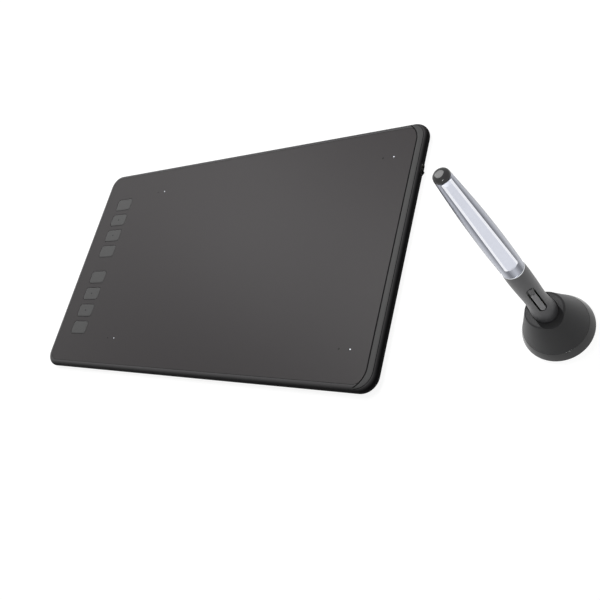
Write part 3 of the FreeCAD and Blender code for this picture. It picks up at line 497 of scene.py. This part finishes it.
def grip_lacquer():
    """Soft-touch lacquer on the pen's grip: dark grey, with a soft satin band where a lamp meets it."""
    return finish("soft_touch_grip_lacquer", ("#3d3d3f", "#434345"), shine=(0.38, 0.44), relief_mm=0.003,
                  pattern=lambda tree: grain(tree, size_mm=0.25),
                  **{"Sheen Weight": 0.05, "Sheen Roughness": 0.4})


def silver_lacquer():
    """Silver lacquer with fine aluminium flake: cool grey, softly metallic, with painted reflections in
    soft streaks.
    """
    return finish("silver_flake_lacquer_painted_reflections", ("#5e626f", "#c9cdda"), shine=(0.26, 0.34), relief_mm=0.002,
                  pattern=lambda tree: painted_reflection_streaks(tree, flake_mm=0.12), Metallic=0.4,
                  **{"Coat Weight": 0.25, "Coat Roughness": 0.12})


def anodised_clip():
    """Satin anodised aluminium, blasted before the bath: pale and cool with a fine sparkle."""
    return finish("satin_anodised_aluminium", ("#d4d7e2", "#e0e3ed"), shine=(0.3, 0.38), relief_mm=0.003,
                  pattern=lambda tree: grain(tree, size_mm=0.15), Metallic=0.9)


def chrome_ring():
    """Plated trim ring: bright, with the faint lines of its polishing."""
    return finish("chrome_plated_ring", ("#d3d5da", "#e2e4e8"), shine=(0.06, 0.12), relief_mm=0.002,
                  pattern=lambda tree: grain(tree, size_mm=0.3, stretch=(1, 1, 8)), Metallic=1.0)


def sintered_ferrite():
    """Sintered ferrite: dark grey ceramic with a dull pressed surface."""
    return finish("sintered_ferrite", ("#242527", "#343538"), shine=(0.5, 0.7), relief_mm=0.02,
                  pattern=lambda tree: grain(tree, size_mm=0.3))


def enamelled_copper():
    """Enamelled copper wire, wound close, its turns drawn three times as thick as they are, to show."""
    return finish("enamelled_copper_wire", ("#5a260d", "#b3602a"), shine=(0.2, 0.35), relief_mm=0.05,
                  pattern=lambda tree: ridges(tree, pitch_mm=0.3, bands_direction="Z"), Metallic=0.9)


FINISHES = {
    "case": case_abs, "sheet": drawing_film, "strip": inlay_abs, "key": key_abs,
    "adhesive": transfer_tape, "circuit_board": solder_mask, "shield_steel": silicon_steel,
    "foam": cell_foam, "rubber": silicone_rubber, "chip": chip_epoxy, "connector": nylon_housing,
    "dome_film": dome_film, "ribbon": flex_ribbon, "lamp": lamp_package, "light_pipe": milky_acrylic,
    "socket_metal": nickel_plate, "screw": black_oxide, "stand_soft": stand_lacquer,
    "stand_gloss": polished_abs, "stand_base": satin_abs, "weight_steel": turned_steel, "nib": acetal,
    "pen_soft": grip_lacquer, "pen_silver": silver_lacquer, "clip_silver": anodised_clip,
    "pen_black": polished_abs, "trim_chrome": chrome_ring, "ferrite": sintered_ferrite,
    "copper": enamelled_copper,
}


def make_camera():
    """The photograph's camera, turned by its level line and its up line."""
    right = Vector(CAMERA_RIGHT)
    up = Vector(CAMERA_UP)
    back = right.cross(up).normalized()
    up = back.cross(right)
    turn = Matrix((right, up, back)).transposed().to_4x4()
    camera = bpy.data.objects.new("camera", bpy.data.cameras.new("camera"))
    camera.data.lens = CAMERA_LENS_MM
    camera.data.clip_start = CAMERA_NEAR
    camera.matrix_world = Matrix.Translation(CAMERA_PLACE) @ turn
    bpy.context.collection.objects.link(camera)
    bpy.context.scene.camera = camera


def stand_lamp(name, lamp, place, aim):
    """Stand a lamp in its place, facing a point."""
    made = bpy.data.objects.new(name, lamp)
    made.location = place
    made.rotation_euler = (Vector(aim) - Vector(place)).to_track_quat("-Z", "Y").to_euler()
    bpy.context.collection.objects.link(made)


def soft_light(name, place, aim, side, power):
    """A square softbox that faces a point."""
    lamp = bpy.data.lights.new(name, "AREA")
    lamp.shape = "SQUARE"
    lamp.size = side
    lamp.energy = power
    stand_lamp(name, lamp, place, aim)


def snoot_light(name, place, aim, radius, beam_deg, power):
    """A small lamp with a snoot, whose narrow beam faces a point."""
    lamp = bpy.data.lights.new(name, "SPOT")
    lamp.shadow_soft_size = radius
    lamp.spot_size = math.radians(beam_deg)
    lamp.spot_blend = 0.3
    lamp.energy = power
    stand_lamp(name, lamp, place, aim)


def seen_directly(tree):
    """1 for the rays of the camera, of mirrors and of glass, and 0 for the light on the object."""
    path = add_node(tree, "ShaderNodeLightPath")
    first = add_node(tree, "ShaderNodeMath", {
        0: path.outputs["Is Camera Ray"], 1: path.outputs["Is Glossy Ray"]}, operation="MAXIMUM")
    return add_node(tree, "ShaderNodeMath", {
        0: first.outputs[0], 1: path.outputs["Is Transmission Ray"]}, operation="MAXIMUM").outputs[0]


def make_world():
    """A white room that lights the object only a little."""
    world = bpy.data.worlds.new("studio")
    world.use_nodes = True
    tree = world.node_tree
    tree.nodes.clear()
    level = add_node(tree, "ShaderNodeMapRange", {"Value": seen_directly(tree), "To Min": WORLD_LEVEL})
    room = add_node(tree, "ShaderNodeBackground", {
        "Color": linear("#ffffff"), "Strength": level.outputs["Result"]})
    add_node(tree, "ShaderNodeOutputWorld", {"Surface": room.outputs["Background"]})
    bpy.context.scene.world = world


def white_floor():
    """Matt white paper, its fibre drawn coarse, that keeps the object's shadow and fades to white."""
    material, tree = new_material("white_studio_paper")
    place = add_node(tree, "ShaderNodeTexCoord").outputs["Object"]
    fibre = add_node(tree, "ShaderNodeTexNoise", {"Vector": place, "Scale": PAPER_FIBRES_PER_METRE})
    tone = add_node(tree, "ShaderNodeMixRGB", {
        "Fac": fibre.outputs["Fac"], "Color1": linear("#828282"), "Color2": linear("#8a8a8a")})
    paper = add_node(tree, "ShaderNodeBsdfDiffuse", {"Color": tone.outputs["Color"]})
    away = add_node(tree, "ShaderNodeVectorMath", {0: place}, operation="LENGTH").outputs["Value"]
    fade = add_node(tree, "ShaderNodeMapRange", {
        "Value": away, "From Min": FLOOR_NEAR, "From Max": FLOOR_FAR, "To Min": FLOOR_GLOW})
    level = add_node(tree, "ShaderNodeMath", {
        0: seen_directly(tree), 1: fade.outputs["Result"]}, operation="MULTIPLY")
    glow = add_node(tree, "ShaderNodeEmission", {"Strength": level.outputs[0]})
    both = add_node(tree, "ShaderNodeAddShader", {0: paper.outputs["BSDF"], 1: glow.outputs["Emission"]})
    add_node(tree, "ShaderNodeOutputMaterial", {"Surface": both.outputs["Shader"]})
    return material


def make_floor():
    """A wide square of paper under the feet."""
    mesh = bpy.data.meshes.new("floor")
    corners = [(x * FLOOR_HALF, y * FLOOR_HALF, 0) for x, y in ((-1, -1), (1, -1), (1, 1), (-1, 1))]
    mesh.from_pydata(corners, [], [(0, 1, 2, 3)])
    mesh.materials.append(white_floor())
    floor = bpy.data.objects.new("floor", mesh)
    bpy.context.collection.objects.link(floor)


def dress_nodes():
    """Give every CAD node the material of its slot, and the lower case half a deeper black, painted
    shade.
    """
    for part in frame["record"]["subparts"]:
        for entry in nodes[part["node"]].material_slots:
            entry.material = finishes[part["material_slot"]]
    # Painted shade: the lower case half in a deeper black
    for entry in nodes["rear_shell"].material_slots:
        entry.material = rear_abs_painted_shade()


def quarter_turns(steps):
    """Even turns from 0 to 90 degrees, in radians."""
    return [math.pi / 2 * index / steps for index in range(steps + 1)]


def spaced(start, end, steps):
    """Even steps from one value to another, without the first value."""
    return [start + (end - start) * index / steps for index in range(1, steps + 1)]


def loft(rings, endless=False):
    """Points and faces of a skin over rings with the same number of points, closed at its ends."""
    count = len(rings[0])
    points = [point for ring in rings for point in ring]
    last = len(points) if endless else len(points) - count
    faces = []
    for low in range(0, last, count):
        high = (low + count) % len(points)
        for index in range(count):
            after = (index + 1) % count
            faces.append((low + index, low + after, high + after, high + index))
    if not endless:
        faces.append(tuple(reversed(range(count))))
        faces.append(tuple(range(len(points) - count, len(points))))
    return points, faces


def lathe(profile, steps=96):
    """Skin of revolution round the pen's axis through (radius, height) points."""
    turns = [2 * math.pi * index / steps for index in range(steps)]
    return loft([[(r * math.cos(turn), r * math.sin(turn), h) for turn in turns] for r, h in profile])


def smooth_curve(knots, steps):
    """Points of a smooth curve through (radius, height) knots."""
    slopes = []
    for index in range(len(knots)):
        before = knots[max(index - 1, 0)]
        after = knots[min(index + 1, len(knots) - 1)]
        slopes.append((after[0] - before[0]) / (after[1] - before[1]))
    points = []
    for (r0, h0), (r1, h1), s0, s1 in zip(knots, knots[1:], slopes, slopes[1:]):
        run = h1 - h0
        for index in range(steps):
            t = index / steps
            radius = (r0 * (2 * t ** 3 - 3 * t ** 2 + 1) + run * s0 * (t ** 3 - 2 * t ** 2 + t)
                      + r1 * (3 * t ** 2 - 2 * t ** 3) + run * s1 * (t ** 3 - t ** 2))
            points.append((radius, h0 + run * t))
    return points + [knots[-1]]


def softened(corners, radius, steps=4, share=0.45):
    """An open profile with its inner corners rounded, over a share of the lines beside them at most."""
    points = [corners[0]]
    for before, corner, after in zip(corners, corners[1:], corners[2:]):
        to_before = Vector(before) - Vector(corner)
        to_after = Vector(after) - Vector(corner)
        reach = min(radius, to_before.length * share, to_after.length * share)
        start = Vector(corner) + to_before.normalized() * reach
        end = Vector(corner) + to_after.normalized() * reach
        for index in range(steps + 1):
            t = index / steps
            points.append(tuple(start * (1 - t) ** 2 + Vector(corner) * 2 * t * (1 - t) + end * t ** 2))
    return points + [corners[-1]]


def make_piece(name, skin, slot, body, place, replaced=(), sharp_deg=28):
    """A mesh piece from millimetre points, in its place, on its body and with its slot's finish."""
    points, faces = skin
    mesh = bpy.data.meshes.new(name)
    mesh.from_pydata([place @ (Vector(point) * MM) for point in points], [], faces)
    shape = bmesh.new()
    shape.from_mesh(mesh)
    bmesh.ops.recalc_face_normals(shape, faces=shape.faces)
    shape.to_mesh(mesh)
    shape.free()
    mesh.shade_smooth()
    mesh.set_sharp_from_angle(angle=math.radians(sharp_deg))
    mesh.materials.append(finishes[slot])
    piece = bpy.data.objects.new(name, mesh)
    bpy.context.collection.objects.link(piece)
    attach(piece, body)
    if replaced:
        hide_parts(*replaced)
    return piece


def arc(centre_x, centre_y, radius, start_deg, end_deg, steps=12):
    """Points along an arc."""
    points = []
    for index in range(steps + 1):
        turn = math.radians(start_deg + (end_deg - start_deg) * index / steps)
        points.append((centre_x + radius * math.cos(turn), centre_y + radius * math.sin(turn)))
    return points


def round_rectangle(left, right, front, back, radius, steps=10):
    """Points round a rectangle with round corners."""
    return (arc(right - radius, back - radius, radius, 0, 90, steps)
            + arc(left + radius, back - radius, radius, 90, 180, steps)
            + arc(left + radius, front + radius, radius, 180, 270, steps)
            + arc(right - radius, front + radius, radius, 270, 360, steps))


def case_face(x, y):
    """Height of the case's outer face over a point: flat, and falling round the rim."""
    over_x = abs(x) - CASE_HALF_LONG + CASE_CORNER
    over_y = abs(y) - CASE_HALF_DEEP + CASE_CORNER
    outside = math.hypot(max(over_x, 0), max(over_y, 0)) + min(max(over_x, over_y), 0) - CASE_CORNER
    run = min(max(RIM_RADIUS + outside, 0), RIM_RADIUS)
    return CASE_TOP - RIM_RADIUS + math.sqrt(RIM_RADIUS ** 2 - run ** 2)


def joint_shadow_ribbon(name, line, width, endless=False):
    """Painted shadow in a joint of the case: a low crowned black ribbon along a line."""
    rings = []
    for index, (x, y) in enumerate(line):
        before = line[index - 1] if endless else line[max(index - 1, 0)]
        after = line[(index + 1) % len(line)] if endless else line[min(index + 1, len(line) - 1)]
        ahead = Vector((after[0] - before[0], after[1] - before[1])).normalized()
        ring = []
        for share, rise in SHADOW_RIBBON_SECTION:
            bead_x = x - ahead.y * share * width / 2
            bead_y = y + ahead.x * share * width / 2
            ring.append((bead_x, bead_y, case_face(bead_x, bead_y) + rise))
        rings.append(ring)
    bead = make_piece(name, loft(rings, endless), "rubber", "tablet", TABLET_PLACE, sharp_deg=60)
    # Deep black, painted as the shadow in the joint
    bead.data.materials[0] = deep_black_and_joint_shadow


def strip_edges(inner_grow, outer_grow):
    """The inlaid strip's two long edges, point for point, from one tip to the other."""
    inner_x = CASE_HALF_LONG - STRIP_INNER_INSET - STRIP_INNER_RADIUS
    inner_y = CASE_HALF_DEEP - STRIP_INNER_RADIUS
    outer_x = CASE_HALF_LONG - STRIP_OUTER_INSET - STRIP_OUTER_RADIUS
    outer_y = CASE_HALF_DEEP - STRIP_SIDE_INSET - STRIP_OUTER_RADIUS
    inner_radius = STRIP_INNER_RADIUS + inner_grow
    outer_radius = STRIP_OUTER_RADIUS + outer_grow
    inner = (arc(inner_x, -inner_y, inner_radius, -STRIP_INNER_SWEEP_DEG, 0)
             + arc(inner_x, inner_y, inner_radius, 0, STRIP_INNER_SWEEP_DEG))
    outer = (arc(outer_x, -outer_y, outer_radius, -STRIP_OUTER_SWEEP_DEG, 0)
             + arc(outer_x, outer_y, outer_radius, 0, STRIP_OUTER_SWEEP_DEG))
    return inner, outer


def inlay_strip():
    """Inlaid strip: a long crescent whose rounded edges catch the light."""
    rings = []
    for inner, outer in zip(*strip_edges(STRIP_INNER_GROW, STRIP_OUTER_GROW)):
        across = Vector(outer) - Vector(inner)
        edge = min(STRIP_EDGE, across.length / 3)
        stops = [(0, -STRIP_ROOT)]
        for turn in quarter_turns(STRIP_EDGE_STEPS):
            stops.append((edge * (1 - math.cos(turn)), edge * (math.sin(turn) - 1)))
        stops += [(across.length - along, rise) for along, rise in reversed(stops)]
        ring = []
        for along, rise in stops:
            x, y = Vector(inner) + across.normalized() * along
            ring.append((x, y, case_face(x, y) + rise + STRIP_PROUD))
        rings.append(ring)
    make_piece("inlay_strip", loft(rings), "strip", "tablet", TABLET_PLACE, ["side_strip"], sharp_deg=40)


def socket_lip():
    """Lip round the cable socket: it follows the case's side and swells near its front end."""
    low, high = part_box("port_rim")
    middle_y, middle_z = (low.y + high.y) / 2 / MM, (low.z + high.z) / 2 / MM
    half_y, half_z = (high.y - low.y) / 2 / MM, (high.z - low.z) / 2 / MM
    root = CASE_HALF_LONG - (case_high.x - low.x) / MM

    def outline(inset):
        """Points round the lip, so far in from its outer edge, its straight sides cut into steps."""
        corner = (half_z - inset) * LIP_CORNER_SHARE
        corners = round_rectangle(
            inset - half_y, half_y - inset, inset - half_z, half_z - inset, corner, LIP_CORNER_STEPS)
        line = []
        for index, point in enumerate(corners):
            line.append(point)
            if index % (LIP_CORNER_STEPS + 1) == LIP_CORNER_STEPS:
                after = Vector(corners[(index + 1) % len(corners)])
                for step in range(1, LIP_SIDE_STEPS):
                    line.append(tuple(Vector(point).lerp(after, step / LIP_SIDE_STEPS)))
        return line

    def front(y):
        """How far out the lip's face lies, with its crown near the front end."""
        share = min(abs(y - LIP_CROWN_PLACE) / LIP_CROWN_HALF, 1)
        return CASE_HALF_LONG + LIP_PROUD + LIP_CROWN * math.cos(math.pi / 2 * share) ** 2

    rings = []
    insets = (0, LIP_EDGE, LIP_WALL - LIP_EDGE, LIP_WALL)
    for outer, outer_edge, inner_edge, inner in zip(*[outline(inset) for inset in insets]):
        ring = [(root, *outer), (front(outer[0]) - LIP_EDGE, *outer),
                (front(outer_edge[0]), *outer_edge), (front(inner_edge[0]), *inner_edge),
                (front(inner[0]) - LIP_EDGE, *inner), (root, *inner)]
        rings.append([(x, y + middle_y, z + middle_z) for x, y, z in ring])
    skin = loft(rings, endless=True)
    lip = make_piece("socket_lip", skin, "case", "tablet", TABLET_PLACE, ["port_rim"], sharp_deg=40)
    lip.data.materials[0] = deep_black_and_joint_shadow


def joint_shadow_ribbons():
    """Painted shadow ribbons in the joints round the drawing sheet and along both edges of the inlaid
    strip.
    """
    left = -CASE_HALF_LONG + SHEET_LEFT_INSET - SHEET_SHADOW_STEP
    right = CASE_HALF_LONG - SHEET_RIGHT_INSET + SHEET_SHADOW_STEP
    back = CASE_HALF_DEEP - SHEET_SIDE_INSET + SHEET_SHADOW_STEP
    outline = round_rectangle(left, right, -back, back, SHEET_CORNER)
    joint_shadow_ribbon("sheet_joint_shadow", outline, SHEET_SHADOW_WIDTH, endless=True)
    inner, outer = strip_edges(
        STRIP_INNER_GROW - STRIP_INNER_SHADOW_STEP, STRIP_OUTER_GROW + STRIP_OUTER_SHADOW_STEP)
    joint_shadow_ribbon("strip_inner_joint_shadow", inner, STRIP_INNER_SHADOW_WIDTH)
    joint_shadow_ribbon("strip_outer_joint_shadow", outer, STRIP_OUTER_SHADOW_WIDTH)


def at_each_mark(name, skin, step):
    """One black piece made of the same form beside, or round, each of the four lit marks."""
    form, around = skin
    points = []
    faces = []
    for x in (MARK_MIDDLE - MARK_HALF_LONG, MARK_MIDDLE + MARK_HALF_LONG):
        for y in (-MARK_HALF_DEEP, MARK_HALF_DEEP):
            faces += [tuple(index + len(points) for index in face) for face in around]
            points += [(x - step + px, y + py, pz) for px, py, pz in form]
    piece = make_piece(name, (points, faces), "rubber", "tablet", TABLET_PLACE)
    piece.data.materials[0] = deep_black_and_joint_shadow


def mark_trims():
    """A small dark dimple beside each lit mark, and a thin dark ring round it."""
    dimple = [(radius, CASE_TOP + rise) for radius, rise in DIMPLE_PROFILE]
    at_each_mark("mark_dimples", lathe(dimple, steps=20), DIMPLE_STEP)
    rings = []
    for index in range(MARK_RING_STEPS):
        turn = 2 * math.pi * index / MARK_RING_STEPS
        rings.append([(radius * math.cos(turn), radius * math.sin(turn), CASE_TOP + rise)
                      for radius, rise in MARK_RING_SECTION])
    at_each_mark("mark_rings", loft(rings, endless=True), 0)


def key_cap(number):
    """Press key from its nub and its holding flange up to a flat face with soft edges."""
    low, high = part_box(f"key_{number}")
    middle = Matrix.Translation(((low.x + high.x) / 2, (low.y + high.y) / 2, 0))
    nub_x = KEY_NUB_HALF - KEY_LENGTH / 2
    nub_y = KEY_NUB_HALF - KEY_WIDTH / 2
    flange_low = CASE_TOP - COVER_WALL - KEY_FLANGE_GAP - KEY_FLANGE
    flange_top = flange_low + KEY_FLANGE
    levels = [(low.z / MM, nub_x, nub_y), (flange_low, nub_x, nub_y),
              (flange_low, KEY_FLANGE_REACH, KEY_FLANGE_REACH),
              (flange_top, KEY_FLANGE_REACH, KEY_FLANGE_REACH), (flange_top, 0, 0)]
    for turn in quarter_turns(KEY_EDGE_STEPS):
        inset = KEY_EDGE * (1 - math.cos(turn))
        levels.append((KEY_FACE - KEY_EDGE_DEPTH * (1 - math.sin(turn)), -inset, -inset))
    levels.append((KEY_FACE, -KEY_EDGE - KEY_FLAT_STEP, -KEY_EDGE - KEY_FLAT_STEP))
    rings = []
    for level, grow_x, grow_y in levels:
        half_x = KEY_LENGTH / 2 + grow_x
        half_y = KEY_WIDTH / 2 + grow_y
        radius = min(KEY_CORNER + max(grow_x, -KEY_EDGE), half_x, half_y)
        outline = round_rectangle(-half_x, half_x, -half_y, half_y, radius, KEY_CORNER_STEPS)
        rings.append([(x, y, level) for x, y in outline])
    make_piece(f"key_cap_{number}", loft(rings), "key", f"key_{number}", middle, [f"key_{number}"],
               sharp_deg=40)
    if number in DOTTED_KEYS:
        dot = [(radius, KEY_FACE + rise) for radius, rise in KEY_DOT_PROFILE]
        skin = lathe(softened(dot, KEY_DOT_ROUND, steps=3), steps=24)
        make_piece(f"key_dot_{number}", skin, "rubber", f"key_{number}", middle, sharp_deg=60)


def end_cap():
    """Black end cap with round shoulders."""
    radius = BARREL_PROFILE[-1][0]
    corners = [(radius, BARREL_TOP), (radius - CAP_SHOULDER, BARREL_TOP + CAP_SHOULDER_HEIGHT),
               (CAP_TOP_RADIUS, CAP_TOP), (CAP_POLE, CAP_TOP)]
    skin = lathe(softened(corners, CAP_ROUND, steps=6))
    make_piece("end_cap", skin, "pen_black", "pen", PEN_PLACE, ["pen_cap"])


def rear_barrel():
    """Silver barrel: straight for a third of its length and then a long, soft taper."""
    knots = [(radius, GRIP_TOP + TRIM_HEIGHT + along) for radius, along in BARREL_PROFILE]
    knots[-1] = (knots[-1][0], BARREL_TOP)
    curve = smooth_curve(knots, BARREL_STEPS)
    radius, bottom = curve[0]
    low = [(radius - BARREL_EDGE, bottom), (radius, bottom + BARREL_EDGE_HEIGHT)]
    make_piece("rear_barrel", lathe(low + curve[1:]), "pen_silver", "pen", PEN_PLACE, ["pen_barrel"])


def clip_front(height):
    """Distance of the clip's face from the pen's axis at a height."""
    share = (BARREL_TOP - height) / CLIP_LENGTH
    return CLIP_TOP_REACH + (CLIP_END_REACH - CLIP_TOP_REACH) * share


def clip_half(height):
    """Half of the clip's width at a height, with its round lower end."""
    end_centre = BARREL_TOP - CLIP_LENGTH + CLIP_END_HALF
    if height < end_centre:
        return math.sqrt(max(CLIP_END_HALF ** 2 - (end_centre - height) ** 2, CLIP_TIP_SQUARE))
    share = (height - end_centre) / (BARREL_TOP - end_centre)
    return CLIP_END_HALF + (CLIP_TOP_HALF - CLIP_END_HALF) * share


def clip_blade():
    """Pocket clip: a flat face between two bevels, turned in at its round lower end and at its top."""
    low = BARREL_TOP - CLIP_LENGTH
    end_steps, blade_steps, turn_steps = CLIP_STEPS
    heights = [low + CLIP_END_HALF * (1 - math.cos(turn)) for turn in quarter_turns(end_steps)]
    heights += spaced(low + CLIP_END_HALF, BARREL_TOP - CLIP_TURN, blade_steps)
    heights += spaced(BARREL_TOP - CLIP_TURN, BARREL_TOP, turn_steps)
    rings = []
    for height in heights:
        half = clip_half(height)
        near_end = max(0, 1 - (height - low) / CLIP_END_HALF)
        near_top = max(0, 1 - (BARREL_TOP - height) / CLIP_TURN)
        turned_in = near_end ** 2 * CLIP_END_TURN_IN + near_top ** 1.5 * CLIP_TURN_IN
        front = -clip_front(height) + turned_in
        back = -clip_front(height) + CLIP_THICK
        bevel = min(CLIP_BEVEL, half * CLIP_BEVEL_SHARE)
        edge = min(front + CLIP_BEVEL_DEPTH, back - CLIP_LEAST_THICK)
        section = [(half, back), (-half, back), (-half, edge), (-half + bevel, front),
                   (half - bevel, front), (half, edge)]
        rings.append([(x, y, height) for x, y in section])
    blade = make_piece("clip_blade", loft(rings), "clip_silver", "pen", PEN_PLACE, ["pen_clip"])
    blade.data.materials.append(cut_bevel())
    # The skin's faces run ring by ring, one for each line of the section
    for face in blade.data.polygons:
        if len(face.vertices) == 4 and face.index % len(rings[0]) in CLIP_BEVEL_FACES:
            face.material_index = 1


def rocker_pad():
    """Side switch: a crowned pad with round ends whose upper end is lower and slopes away, painted in
    shade there with the grip's darker lacquer.
    """
    low, high = ROCKER_SPAN
    end_steps, lower_steps, step_steps, upper_steps = ROCKER_STEPS
    stops = [ROCKER_HALF * (1 - math.cos(turn)) for turn in quarter_turns(end_steps)]
    heights = [low + stop for stop in stops]
    heights += spaced(low + ROCKER_HALF, ROCKER_STEP, lower_steps)
    heights += spaced(ROCKER_STEP, ROCKER_STEP + ROCKER_STEP_RUN, step_steps)
    heights += spaced(ROCKER_STEP + ROCKER_STEP_RUN, high - ROCKER_HALF, upper_steps)
    heights += [high - stop for stop in reversed(stops[:-1])]
    rings = []
    for height in heights:
        near_end = max(low + ROCKER_HALF - height, height - (high - ROCKER_HALF), 0)
        half = math.sqrt(max(ROCKER_HALF ** 2 - near_end ** 2, ROCKER_TIP_SQUARE))
        down = min(max((height - ROCKER_STEP) / ROCKER_STEP_RUN, 0), 1)
        ring = [(half, -ROCKER_ROOT, height), (-half, -ROCKER_ROOT, height)]
        for index in range(-ROCKER_HALF_STEPS, ROCKER_HALF_STEPS + 1):
            across = index / ROCKER_HALF_STEPS
            crown = ROCKER_CROWN * across ** 2 + ROCKER_EDGE * across ** 8
            slope = down * (ROCKER_STEP_DEPTH - ROCKER_SLOPE * across)
            ring.append((half * across, -ROCKER_FACE + crown + slope, height))
        rings.append(ring)
    pad = make_piece("rocker_pad", loft(rings), "pen_soft", "side_switch", PEN_PLACE, ["pen_rocker"])
    pad.data.materials[0] = rocker_elastomer()
    # Painted shade: the faces above the step take the grip's darker lacquer
    pad.data.materials.append(finishes["pen_soft"])
    for face in pad.data.polygons:
        if (PEN_PLACE.inverted() @ face.center).z > ROCKER_STEP * MM:
            face.material_index = 1


def stand_trim():
    """Glossy band with soft edges, so that its seams catch the light."""
    low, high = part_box("stand_band")
    bottom, top = low.z / MM, high.z / MM
    corners = [(BAND_INNER, bottom), (BAND_BOTTOM_RADIUS, bottom),
               (BAND_TOP_RADIUS, top), (BAND_INNER, top)]
    skin = lathe(softened(corners, BAND_EDGE), steps=128)
    make_piece("gloss_band", skin, "stand_gloss", "stand_top", PEN_PLACE, ["stand_band"])


make_camera()
make_world()
soft_light("back_softbox", place=(-0.66, 0.43, 0.8), aim=(0, 0, 0), side=0.4, power=2.1)
# A narrow beam aimed at the pen
snoot_light("pen_snoot", place=(0.42, -0.55, 0.5), aim=PEN_MIDDLE, radius=0.05, beam_deg=17, power=7.5)
soft_light("top_softbox", place=(-0.05, 0.14, 0.62), aim=(-0.05, 0.14, 0), side=0.4, power=2.7)
make_floor()
finishes = {slot: make() for slot, make in FINISHES.items()}
deep_black_and_joint_shadow = make_deep_black_and_joint_shadow()
dress_nodes()
inlay_strip()
socket_lip()
joint_shadow_ribbons()
mark_trims()
for number in range(1, 9):
    key_cap(number)
end_cap()
rear_barrel()
clip_blade()
rocker_pad()
stand_trim()
